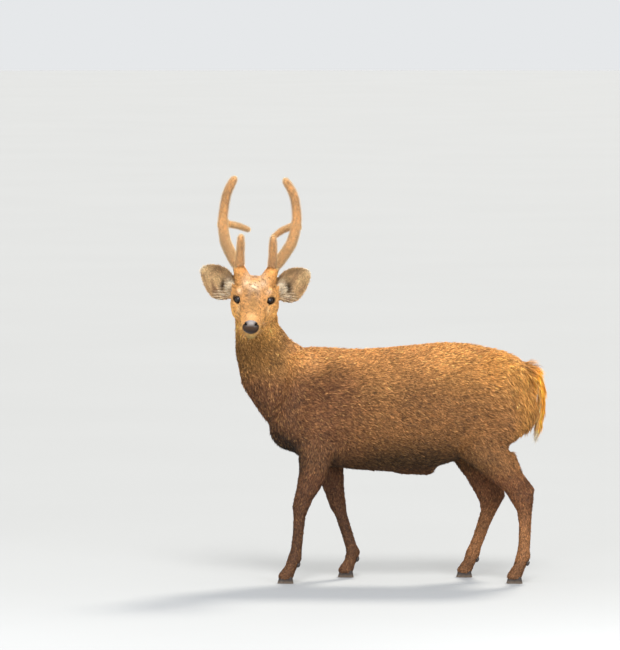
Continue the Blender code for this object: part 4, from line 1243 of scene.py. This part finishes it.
def hair_ways(place, samples):
    """The way the hair lies at each place, along the surface."""
    spots, ways = samples
    found = np.empty_like(place.points)
    for start in range(0, len(found), WAYS_AT_ONCE):
        part = slice(start, start + WAYS_AT_ONCE)
        points = place.points[part]
        apart = (points**2).sum(1)[:, None] + (spots**2).sum(1)[None] - 2 * points @ spots.T
        weight = 1 / (np.maximum(apart, 0) + 2e-4) ** 2.5
        found[part] = (weight @ ways) / weight.sum(1)[:, None]
    side = np.where(place.local[:, 1] > 0, 1.0, -1.0)
    turn = np.array(HEAD_FRAME.to_3x3())
    vertical = np.array([0, -math.sin(EAR_TILT), math.cos(EAR_TILT)])
    sideways = np.outer(side, [1, 0, 0])
    along = sideways * math.cos(EAR_RISE) + vertical * math.sin(EAR_RISE)
    off = -sideways * math.sin(EAR_RISE) + vertical * math.cos(EAR_RISE)
    fan = np.clip(place.across, -1, 1)[:, None] * np.where(place.inner, 0.9, 0.35)[:, None]
    ear_way = (along + off * fan) @ turn.T
    share = place.ear[:, None]
    found = found * (1 - share) + ear_way * share
    return along_surface(found, place.normals)


def coat_sizes(place):
    """Length, width and lift of the tufts at each place, and how closely they stand."""
    z = place.z
    length, width, lift = (np.interp(z, *table) for table in (TUFT_LENGTHS, TUFT_BREADTHS, TUFT_LIFTS))
    rump = step(0.20, 0.40, place.x) * step(0.40, 0.50, z)
    length = length * (1 + 0.40 * rump) * (1 - 0.20 * place.neck)
    behind = step(0.405, 0.440, place.x) * step(0.36, 0.42, z)
    length = blend(length, 0.022, behind)
    lift = blend(lift, 0.20, behind)
    under_tail = behind * step(0.060, 0.035, np.abs(place.y)) * step(0.52, 0.56, z)
    length = blend(length, 0.030, under_tail)
    lift = blend(lift, 0.34, under_tail)
    face = place.head * (1 - place.ear)
    muzzle = step(0.02, 0.12, place.local[:, 0])
    length = blend(length, 0.0056 - 0.0022 * muzzle, face)
    width = blend(width, 0.00080 - 0.00012 * muzzle, face)
    lift = blend(lift, 0.10, face)
    fringe = place.inner * place.ear
    length = blend(length, 0.0046 + 0.0014 * fringe, place.ear)
    width = blend(width, 0.00088, place.ear)
    lift = blend(lift, 0.10 + 0.06 * fringe, place.ear)
    length = blend(length, 0.025, place.tail)
    width = blend(width, 0.0013, place.tail)
    lift = blend(lift, 0.11, place.tail)
    around_eye = face * np.minimum(1, eye_rim(place) * 1.2)
    length = length * (1 - 0.55 * around_eye)
    return length, width, lift, LAYERS / (length * width * TUFT_COVER)


def scatter(obj, density, draw):
    """Roots spread over a piece, with their normals and places on its unwrap.

    density takes points and normals, and gives the roots a square metre there.
    """
    mesh = obj.data
    mesh.calc_loop_triangles()
    corners = read(mesh.loop_triangles, "vertices", 3, np.int32)
    loops = read(mesh.loop_triangles, "loops", 3, np.int32)
    uv = read(mesh.uv_layers["OFBake"].uv, "vector", 2).astype(float)
    points, normals = points_of(mesh), normals_of(mesh)
    a, b, c = (points[corners[:, n]] for n in range(3))
    area = np.linalg.norm(np.cross(b - a, c - a), axis=1) / 2
    total = np.cumsum(area * density((a + b + c) / 3, unit(normals[corners].sum(axis=1))))
    count = int(total[-1])
    picked = np.searchsorted(total, (np.arange(count) + draw.random(count)) / count * total[-1])
    picked = np.minimum(picked, len(area) - 1)
    one, two = draw.random((2, count))
    flip = one + two > 1
    one[flip], two[flip] = 1 - one[flip], 1 - two[flip]
    shares = np.stack([1 - one - two, one, two], axis=1)[:, :, None]
    roots = (points[corners[picked]] * shares).sum(1)
    faces = unit((normals[corners[picked]] * shares).sum(1))
    return roots, faces, (uv[loops[picked]] * shares).sum(1)


def coat_density(points, normals):
    place = Place(points, normals)
    return coat_sizes(place)[3] * bare(place)


def bare(place):
    """1 where hair grows, 0 on the nose pad and its nostrils, on the eyes and under the claws."""
    keep = (pad_reach(place, 1.03) > 1) & (place.z > 0.017)
    for side in (LEFT, RIGHT):
        away = np.linalg.norm(place.points - np.array(eye_point(side)), axis=1)
        keep &= away > EYE_RADIUS + 0.0012
    return keep.astype(float)


def grow(roots, normals, ways, length, width, lift, colours, uv, draw, spread=0.11):
    """Flat tapered tufts that leave the skin and bend down to lie along it.

    Gives points, shades and places on the unwrap.
    """
    count = len(roots)
    sideways = np.cross(normals, ways)
    bend = draw.normal(0, HAIR_BENDS, count)[:, None]
    ways = unit(ways + sideways * bend)
    roll = draw.normal(0, HAIR_TURNS, count)[:, None]
    sideways = unit(np.cross(normals, ways) * np.cos(roll) + normals * np.sin(roll))
    length = length * draw.uniform(*LENGTH_RANGE, count)
    lift = lift * draw.uniform(*LIFT_RANGE, count)
    swirl = draw.normal(0, HAIR_SWIRLS, count)
    tone = np.exp(draw.normal(0, 1, count) * spread)[:, None]
    points, shades, places = [], [], []
    for t, wide, shade in zip(TUFT_STEPS, TUFT_WIDTHS, TUFT_SHADES):
        rise = np.sin(lift) * (1 - (1 - t) ** 1.9) * length - ROOT_DEPTH * (t == 0)
        middle = roots + ways * (length * t * np.cos(lift))[:, None] + normals * rise[:, None]
        middle += np.cross(normals, ways) * (swirl * length * t * t)[:, None]
        for sign in (1, -1) if wide else (0,):
            points.append(middle + sideways * (sign * wide * width / 2)[:, None])
            shades.append(colours * tone * shade)
            places.append(uv + TUFT_PATCH * np.array([0.5 * sign, t - 0.5]))
    return (np.stack(found, axis=1) for found in (points, shades, places))


def tuft_mesh(name, points, shades, places):
    """One mesh of many tufts, each a quad and a tip."""
    count = len(points)
    loops = (np.arange(count)[:, None] * TUFT_POINTS + np.array([0, 1, 3, 2, 2, 3, 4])).ravel()
    starts = (np.arange(count)[:, None] * 7 + np.array([0, 4])).ravel()
    mesh = bpy.data.meshes.new(name)
    mesh.vertices.add(count * TUFT_POINTS)
    mesh.vertices.foreach_set("co", points.astype(np.float32).ravel())
    mesh.loops.add(len(loops))
    mesh.loops.foreach_set("vertex_index", loops.astype(np.int32))
    mesh.polygons.add(len(starts))
    mesh.polygons.foreach_set("loop_start", starts.astype(np.int32))
    mesh.update(calc_edges=True)
    tint(mesh, np.clip(shades.reshape(-1, 3), SMALLEST_SHADE, 1))
    layer = mesh.uv_layers.new(name="OFBake")
    layer.uv.foreach_set("vector", places.reshape(-1, 2)[loops].astype(np.float32).ravel())
    made = bpy.data.objects.new(name, mesh)
    bpy.context.scene.collection.objects.link(made)
    shade_smooth(made)
    return made


def coat_part(place):
    """The number of the coat piece that each root belongs to."""
    x, y, z = place.x, place.y, place.z
    right = (y > 0).astype(int)
    part = 0 + right + 2 * (x > -0.06) + 2 * (x > 0.19)
    part = np.where(z < 0.33, 6 + (x > 0.1), part)
    part = np.where((place.neck > 0.5) | ((x < -0.20) & (z > 0.60)), 8, part)
    part = np.where(place.head > 0.5, 9, part)
    part = np.where(place.ear > 0.3, 10, part)
    return np.where(place.tail > 0.3, 11, part)


def clump_leaders(roots, ways, draw):
    """For each root the number of the root that leads its clump, which may lie further off along the hair."""
    leaders = np.flatnonzero(draw.random(len(roots)) < CLUMP_SHARE)
    tree = KDTree(len(leaders))
    for number, root in enumerate(roots[leaders]):
        tree.insert(root, number)
    tree.balance()
    near = leaders[np.array([[hit[1] for hit in tree.find_n(root, CLUMP_CHOICES)] for root in roots])]
    away = roots[:, None] - roots[near]
    along = (away * ways[:, None]).sum(2) ** 2
    best = ((away**2).sum(2) * 9 - along * 8).argmin(1)
    return near[np.arange(len(roots)), best]


def build_coat(skin, samples):
    draw = np.random.default_rng(SEED)
    roots, normals, uv = scatter(skin, coat_density, draw)
    place = Place(roots, normals)
    ways = hair_ways(place, samples)
    length, width, lift, _ = coat_sizes(place)
    guard = draw.random(len(roots)) < GUARD_SHARE
    sizes = zip((length, width, lift), GUARD_EXCESS)
    length, width, lift = (size * (1 + excess * guard) for size, excess in sizes)
    body = 1 - place.head
    leader = clump_leaders(place.points, ways, draw)
    tip = place.points[leader] + ways[leader] * length[:, None] * 1.1
    gather = unit(tip - place.points) - ways
    gather -= place.normals * (gather * place.normals).sum(1, keepdims=True)
    ways = unit(ways + gather * (0.20 + 0.35 * body)[:, None])
    tone = np.exp(draw.normal(0, 1, len(roots)))[leader] ** (0.22 + 0.24 * body) * TONE_SHARE
    grain = tone * (1 + 0.10 * body * patches(place.points, 520, 7))
    colours = markings(place) * np.clip(grain, 0.25, 1.25)[:, None]
    pale = np.clip((grain - 1.25) * 0.40, 0, 0.55)[:, None]
    sunlit = 0.40 + 0.60 * np.maximum(place.head, step(0.30, 0.58, place.z))
    colours = blend(colours, linear("straw") * sunlit[:, None], pale)
    points, shades, places = grow(
        place.points, place.normals, ways, length, width, lift, colours, uv, draw, 0.14 + 0.15 * body
    )
    part = coat_part(place)
    made = []
    for number, name in enumerate(COAT_NAMES):
        rows = np.flatnonzero(part == number)
        for n, start in enumerate(range(0, len(rows), MOST_TUFTS)):
            chosen = rows[start : start + MOST_TUFTS]
            made.append(tuft_mesh(f"{name}_{n}", points[chosen], shades[chosen], places[chosen]))
    return made


def node(tree, kind, inputs=(), **settings):
    made = tree.nodes.new("ShaderNode" + kind)
    for name, value in settings.items():
        setattr(made, name, value)
    for name, value in dict(inputs).items():
        made.inputs[name].default_value = value
    return made


def new_material(name, roughness, **shader_values):
    material = bpy.data.materials.new(name)
    material.use_nodes = True
    shader = material.node_tree.nodes["Principled BSDF"]
    shader.inputs["Roughness"].default_value = roughness
    for key, value in shader_values.items():
        shader.inputs[key.replace("_", " ")].default_value = value
    return material, material.node_tree, shader


def mottle(tree, source, scale, low, high):
    """The colour of a socket, made darker and lighter by a noise in the piece's own space."""
    where = node(tree, "TexCoord")
    noise = node(tree, "TexNoise", {"Scale": scale, "Detail": 4.0})
    spread = node(tree, "MapRange", {"From Min": 0.3, "From Max": 0.7, "To Min": low, "To Max": high})
    mix = node(tree, "Mix", {"Factor": 1.0}, data_type="RGBA", blend_type="MULTIPLY")
    tree.links.new(where.outputs["Object"], noise.inputs["Vector"])
    tree.links.new(noise.outputs["Fac"], spread.inputs["Value"])
    tree.links.new(source, mix.inputs[6])
    tree.links.new(spread.outputs["Result"], mix.inputs[7])
    return mix.outputs[2], noise.outputs["Fac"]


def bump(tree, shader, height, strength, distance):
    made = node(tree, "Bump", {"Strength": strength, "Distance": distance})
    tree.links.new(height, made.inputs["Height"])
    tree.links.new(made.outputs["Normal"], shader.inputs["Normal"])


def let_light_through(tree, shader, colour, share):
    """Mixes in a shader that shows the light behind a thin hair."""
    thin = node(tree, "BsdfTranslucent")
    mix = node(tree, "MixShader", {"Fac": share})
    tree.links.new(colour, thin.inputs["Color"])
    tree.links.new(shader.outputs["BSDF"], mix.inputs[1])
    tree.links.new(thin.outputs["BSDF"], mix.inputs[2])
    tree.links.new(mix.outputs["Shader"], tree.nodes["Material Output"].inputs["Surface"])


def tinted_material(
    name, roughness, scale, low, high, bump_strength=0.0, bump_distance=0.0, through=0.0, **shader_values
):
    """A material whose colour comes from the points' tint, mottled."""
    material, tree, shader = new_material(name, roughness, **shader_values)
    source = node(tree, "Attribute", attribute_name="tint")
    colour, height = mottle(tree, source.outputs["Color"], scale, low, high)
    tree.links.new(colour, shader.inputs["Base Color"])
    if bump_strength:
        bump(tree, shader, height, bump_strength, bump_distance)
    if through:
        let_light_through(tree, shader, colour, through)
    return material


def give(obj, material, slot, *nodes):
    """Material and CAD nodes of a finished piece. The slot is not used."""
    obj.data.materials.clear()
    obj.data.materials.append(material)
    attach(obj, "root")
    if nodes:
        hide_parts(*nodes)


def place_in_frame(obj, shift):
    obj.data.transform(Matrix.Translation(shift))
    obj.data.update()


def finish_piece(obj, colours):
    unwrap(obj)
    tint(obj.data, colours)
    shade_smooth(obj)
    return obj


def antler_colours(points):
    cloudy = 1 + 0.12 * patches(points, 90, 21) + 0.20 * patches(points, 500, 23)
    velvet = linear("velvet") * cloudy[:, None]
    dusky = np.clip(patches(points, 40, 22), 0, 1)[:, None]
    velvet = blend(velvet, linear("velvet_dusky"), dusky * 0.6)
    specks = step(0.35, 0.95, patches(points, 1000, 24))[:, None]
    return np.clip(blend(velvet, linear("velvet_speck"), specks * 0.60), 0.01, 1)


def build_antler(name, side):
    bm = bmesh.new()
    for chain in antler_chains(name, side):
        add_chain(bm, chain, 24, 16)
    antler = fuse(new_object("antler_" + name, bm), ANTLER_VOXEL, ANTLER_SMOOTHING)
    move_points(antler, points_of(antler.data) - normals_of(antler.data) * VELVET_DEPTH)
    spot, rising = coronet(side)
    trim(antler, half_space(spot - 0.003 * rising, -rising, 0.09))
    return finish_piece(antler, antler_colours(points_of(antler.data)) * ANTLER_SHADE)


def build_velvet(name, antler, side, draw):
    """Short dense nap that stands out from the antler and leans towards its tips."""
    roots, normals, uv = scatter(antler, lambda points, _: np.full(len(points), VELVET_SPACING**-2), draw)
    spots, ways = [], []
    for chain in antler_chains(name, side):
        chain_ways(spots, ways, chain)
    spots, ways = np.array(spots), unit(np.array(ways))
    nearest = [((part[:, None] - spots) ** 2).sum(2).argmin(1) for part in np.array_split(roots, 8)]
    nearest = np.concatenate(nearest)
    lean = along_surface(ways[nearest], normals)
    count = len(roots)
    length, width, lift = (np.full(count, value) for value in (NAP_LENGTH, NAP_WIDTH, NAP_LIFT))
    colours = antler_colours(roots)
    points, shades, places = grow(roots, normals, lean, length, width, lift, colours, uv, draw)
    shades = blend(shades, linear("velvet_pale"), NAP_PALENESS[None, :, None])
    return tuft_mesh("velvet_" + name, points, shades, places)


def build_eye(name, side):
    """A glossy dark eye with a wide oval pupil."""
    eye = mass_object("eyeball_" + name, ball(side), 96, 64)
    look, inward, up = (np.array(way) for way in eye_frame(side))
    away = points_of(eye.data) - np.array(eye_point(side))
    aside, above, out = away @ inward, away @ up, away @ look
    off_middle = np.hypot(aside, above)
    cornea = 0.0006 * step(0.0075, 0.0, off_middle) * (out > 0)
    move_points(eye, points_of(eye.data) + np.outer(cornea, look))
    iris = step(0.0105, 0.0085, off_middle) * (out > 0)
    pupil = step(1.15, 0.85, np.hypot(aside / 0.0068, above / 0.0042)) * (out > 0)
    fibres = 1 + 0.25 * np.sin(np.arctan2(above, aside) * 40)
    colours = blend(linear("eye_brown"), linear("iris"), (iris * fibres)[:, None])
    colours = blend(colours, linear("pupil"), pupil[:, None])
    return finish_piece(eye, np.clip(colours, 0.001, 1))


def muzzle_masses(bm):
    add_chain(bm, head_row(SKULL[5:]), 24, 14)


def build_nose():
    """The bare pad between the nostrils, a little proud of the skin."""
    bm = bmesh.new()
    add_fused(bm, muzzle_masses, NOSE_BASE_VOXEL, NOSE_BASE_SMOOTHING)
    for mass in (NOSE_END, CHIN):
        add_mass(bm, matrix_in_head(*mass), 32, 20)
    nose = fuse(new_object("nose_pad", bm), NOSE_VOXEL, NOSE_SMOOTHING)
    trim(nose, nostrils())
    trim(nose, mass_object("pad", matrix_in_head(*NOSE_PAD), 64, 40), "INTERSECT")
    points = points_of(nose.data)
    local = in_head(points)
    # Painted highlight: a lighter band over the top of the pad, where the wet nose reflects the sky.
    top = (step(-0.021, -0.008, local[:, 2]) * step(0.0235, 0.014, np.abs(local[:, 1])))[:, None]
    colours = blend(linear("nose_brown"), linear("nose_top_highlight"), top * 0.8)
    # Painted shade: the bottom of the pad is darker.
    low = (step(-0.024, -0.036, local[:, 2]) * 0.8)[:, None]
    colours = blend(colours, linear("nose_low_shade"), low)
    # Painted shade: the pad darkens to black into the nostrils.
    nostril_shade = np.zeros(len(points))
    for side in (LEFT, RIGHT):
        spot = np.array(nostril(side).translation)
        nostril_shade = np.maximum(nostril_shade, np.exp(-(((points - spot) ** 2).sum(1) / 0.0068**2)))
    colours = blend(colours, linear("nostril"), np.clip(nostril_shade * 1.3, 0, 1)[:, None])
    return finish_piece(nose, colours)


def smooth_outline(points, count):
    """A closed smooth curve through some points."""
    found = []
    size = len(points)
    for n in range(count):
        at = n * size / count
        base = int(at)
        t = at - base
        a, b, c, d = (np.array(points[(base + k) % size]) for k in (-1, 0, 1, 2))
        square, cube = 2 * a - 5 * b + 4 * c - d, 3 * b - a - 3 * c + d
        found.append(0.5 * (2 * b + (c - a) * t + square * t**2 + cube * t**3))
    return found


def add_claw(bm, toe, side, inner_side):
    """One claw: flat sole, straight inner wall, curved outer wall, sloping top."""
    heel = toe + CLAW_LENGTH
    middle = -side * FOOT_OUT
    rise = (CLAW_TOE_HEIGHT - CLAW_HEEL_HEIGHT) / CLAW_TOP_LENGTH
    heights, grows = zip(*CLAW_RINGS)
    outline = smooth_outline(CLAW_OUTLINE, CLAW_POINTS)
    rings = []
    for level in CLAW_LEVELS:
        grow_by = np.interp(level, heights, grows) - 0.03 * max(0, level - 0.9) * 10
        length = CLAW_LENGTH + (CLAW_TOP_LENGTH - CLAW_LENGTH) * level
        ring = []
        for along, off in outline:
            along = min(max(along, 0.0), 1.0)
            off = max(off, -1.0)
            forward = 0.003 * level * (1 - along) + along * length
            half = CLAW_WIDTH / 2 - CLAW_SEAM
            spread = off * half * min(grow_by, 1.0 if off < 0 else grow_by)
            y = middle + inner_side * (CLAW_WIDTH / 2 + spread)
            ring.append(bm.verts.new((heel - forward, y, (CLAW_HEEL_HEIGHT + rise * forward) * level)))
        rings.append(ring)
    close_rings(bm, rings)


def build_claws(name, side):
    """Both claws and both dewclaws of one foot."""
    bm = bmesh.new()
    for inner_side in (side, -side):
        add_claw(bm, TOES[name], side, inner_side)
    for spot in dewclaw_spots(name, side):
        place = dewclaw_matrix(spot + Vector((-0.0022, 0, 0))) @ Matrix.Diagonal((0.62, 0.80, 0.80, 1))
        add_mass(bm, place, 24, 16)
    bmesh.ops.recalc_face_normals(bm, faces=bm.faces)
    claws = new_object("claws_" + name, bm)
    points = points_of(claws.data)
    low = step(0.012, 0.0, points[:, 2])[:, None]
    bands = 1 + 0.16 * np.sin(points[:, 2] * 1900 + points[:, 0] * 700)[:, None]
    colours = blend(linear("horn"), linear("horn_low"), low * 0.7) * bands
    finish_piece(claws, np.clip(colours, SMALLEST_SHADE, 1))
    claws.data.set_sharp_from_angle(angle=CLAW_SHARPNESS)
    return claws


def head_hairs(name, places, draw):
    """Single long hairs: each place has a point, the normal there and the way of the hair."""
    roots, normals, ways = (np.array(part, float) for part in zip(*places))
    normals = unit(normals)
    ways = along_surface(ways, normals)
    count = len(roots)
    colour, *sizes = HEAD_HAIRS[name]
    length, width, lift = (np.full(count, size) for size in sizes)
    colours, middles = np.tile(linear(colour), (count, 1)), np.full((count, 2), 0.5)
    points, shades, spots = grow(roots, normals, ways, length, width, lift, colours, middles, draw)
    return tuft_mesh(name, points, shades, spots)


def lash_places():
    """Roots along the upper lids."""
    found = []
    for side in (LEFT, RIGHT):
        look, inward, up = eye_frame(side)
        for n in range(LASHES):
            turn = math.radians(8 + 164 * n / (LASHES - 1))
            wide, high = -math.cos(turn) * LID_OPENING[0] * 0.50, math.sin(turn) * LID_OPENING[1] * 0.50
            out = inward * wide + up * high
            root = eye_point(side) + look * 0.0138 + out
            found.append((root, look + up * 0.2, up + out.normalized() * 0.6 - inward * 0.3))
    return found


def whisker_places(skin, draw):
    """Roots on the lips and chin."""
    surface = BVHTree.FromObject(skin, bpy.context.evaluated_depsgraph_get())
    found = []
    for n in range(WHISKERS):
        side = (LEFT, RIGHT)[n % 2]
        forward, up = draw.uniform(0.095, 0.145), draw.uniform(-0.064, -0.028)
        start = head_point(forward, 0.08 * side, up)
        hit, normal, _, _ = surface.ray_cast(start, head_direction(0.0, -side, 0.05), 0.2)
        if hit is not None:
            found.append((hit, normal, head_direction(-0.6, 0.3 * side, -0.9)))
    return found


def ear_strand_places(skin, draw):
    """Roots of the long pale hairs that fan out from the root of each ear."""
    place = place_of(skin)
    rooted = place.inner & (place.ear > 0.5) & (place.along < 0.032) & (np.abs(place.across - 0.05) < 0.55)
    chosen = draw.choice(np.flatnonzero(rooted), EAR_STRANDS, replace=False)
    found = []
    for n in chosen:
        side = LEFT if place.local[n, 1] * LEFT > 0 else RIGHT
        way = head_direction(0.1, side, 0.55 * place.across[n] + draw.normal(0, 0.15))
        found.append((place.points[n], place.normals[n], way))
    return found


def add_lamp(name, kind, spot, target, power):
    lamp = bpy.data.objects.new(name, bpy.data.lights.new(name, kind))
    lamp.data.energy = power
    lamp.location = spot
    lamp.rotation_euler = (target - Vector(spot)).to_track_quat("-Z", "Y").to_euler()
    bpy.context.scene.collection.objects.link(lamp)
    return lamp


def soft_sun(name, spot, width, power, colour):
    lamp = add_lamp(name, "SUN", spot, Vector((0, 0, 0)), power)
    lamp.data.angle = math.radians(width)
    lamp.data.color = colour


def soft_panel(name, spot, size, power, target):
    """A round soft lamp that shows only by its light."""
    lamp = add_lamp(name, "AREA", spot, target, power)
    lamp.data.shape = "DISK"
    lamp.data.size = size
    lamp.visible_camera = False


def build_camera(shift):
    """The photo's view."""
    scene = bpy.context.scene
    tilt = math.radians(CAMERA_TILT)
    aim = Vector((CAMERA_AIM[0], 0, CAMERA_AIM[1] / math.cos(tilt))) + shift
    data = bpy.data.cameras.new("camera")
    data.lens = SENSOR_WIDTH / 2 * CAMERA_DISTANCE / VIEW_HALF_WIDTH
    data.sensor_width = SENSOR_WIDTH
    data.clip_end = 200
    camera = bpy.data.objects.new("camera", data)
    camera.location = aim + CAMERA_DISTANCE * Vector((0, -math.cos(tilt), math.sin(tilt)))
    camera.rotation_euler = (math.pi / 2 - tilt, 0, 0)
    scene.collection.objects.link(camera)
    scene.camera = camera


def build_floor():
    bm = bmesh.new()
    bmesh.ops.create_circle(bm, cap_ends=True, segments=128, radius=FLOOR_RADIUS)
    floor = new_object("floor", bm)
    material, tree, shader = new_material("floor", 0.85)
    base = node(tree, "RGB")
    base.outputs[0].default_value = (*linear("floor"), 1)
    colour, height = mottle(tree, base.outputs[0], 0.8, 0.985, 1.01)
    tree.links.new(colour, shader.inputs["Base Color"])
    bump(tree, shader, height, 0.05, 0.001)
    floor.data.materials.append(material)


def build_light():
    """Pale sky, two suns and the round lamps."""
    scene = bpy.context.scene
    world = bpy.data.worlds.new("world")
    world.use_nodes = True
    background = world.node_tree.nodes["Background"]
    background.inputs["Color"].default_value = (*linear("sky"), 1)
    background.inputs["Strength"].default_value = WORLD_STRENGTH
    scene.world = world
    for light in LIGHTS:
        soft_sun(*light)
    soft_panel(*FRONT_PANEL, FRONT_PANEL_AIM)
    for panel in EYE_PANELS:
        soft_panel(*panel, eye_point(LEFT))
    scene.view_settings.view_transform = "Standard"


def build():
    low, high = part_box("eye_left")
    shift = (Vector(low) + Vector(high)) / 2 - eye_point(LEFT)
    draw = np.random.default_rng(SEED + 1)
    skin_look = tinted_material("skin", 0.75, 700, 0.80, 1.15, 0.5, 0.001, Specular_IOR_Level=0.25)
    coat_look = tinted_material("coat", 0.62, 300, 0.85, 1.12, through=0.30, Specular_IOR_Level=0.35)
    velvet_look = tinted_material("velvet", 0.80, 900, 0.80, 1.12, 0.6, 0.0006, Sheen_Weight=0.35)
    nap_look = tinted_material("velvet_nap", 0.80, 400, 0.88, 1.10, through=0.75, Sheen_Weight=0.5)
    eye_look = tinted_material("eye", 0.05, 500, 0.85, 1.10, Specular_IOR_Level=0.50)
    nose_look = tinted_material("nose", 0.36, 900, 0.70, 1.20, 0.5, 0.0006, Specular_IOR_Level=0.40)
    horn_look = tinted_material("horn", 0.42, 500, 0.75, 1.20, 0.3, 0.0004)

    skin = build_skin()
    finish_piece(skin, markings(place_of(skin)) * SKIN_SHADE)
    flesh = ["torso", "neck", "tail", "head", "ear_left", "ear_right"]
    flesh += [name + part for name in LEGS for part in ("_upper", "_lower")]
    whiskers = whisker_places(skin, draw)
    made = [skin]
    give(skin, skin_look, "coat", *flesh)
    for obj in build_coat(skin, lie_samples()):
        give(obj, coat_look, "coat")
        made.append(obj)
    for name, side in SIDES.items():
        antler = build_antler(name, side)
        parts = ("beam_low", "beam_top", "brow_tine", "inner_tine")
        give(antler, velvet_look, "velvet", *[f"antler_{name}_{part}" for part in parts])
        nap = build_velvet(name, antler, side, draw)
        give(nap, nap_look, "velvet")
        eye = build_eye(name, side)
        give(eye, eye_look, "eye", "eye_" + name)
        made += [antler, nap, eye]
    nose = build_nose()
    give(nose, nose_look, "nose", "nose")
    made.append(nose)
    for name, (_, side) in LEGS.items():
        claws = build_claws(name, side)
        parts = ("claw_inner", "claw_outer", "dewclaw_a", "dewclaw_b")
        give(claws, horn_look, "horn", *[f"{name}_{part}" for part in parts])
        made.append(claws)
    lashes = head_hairs("lashes", lash_places(), draw)
    hairs = head_hairs("whiskers", whiskers, draw)
    strands = head_hairs("ear_strands", ear_strand_places(skin, draw), draw)
    for obj in (lashes, hairs, strands):
        give(obj, coat_look, "face")
        made.append(obj)
    for obj in made:
        place_in_frame(obj, shift)
    build_camera(shift)
    build_floor()
    build_light()


build()
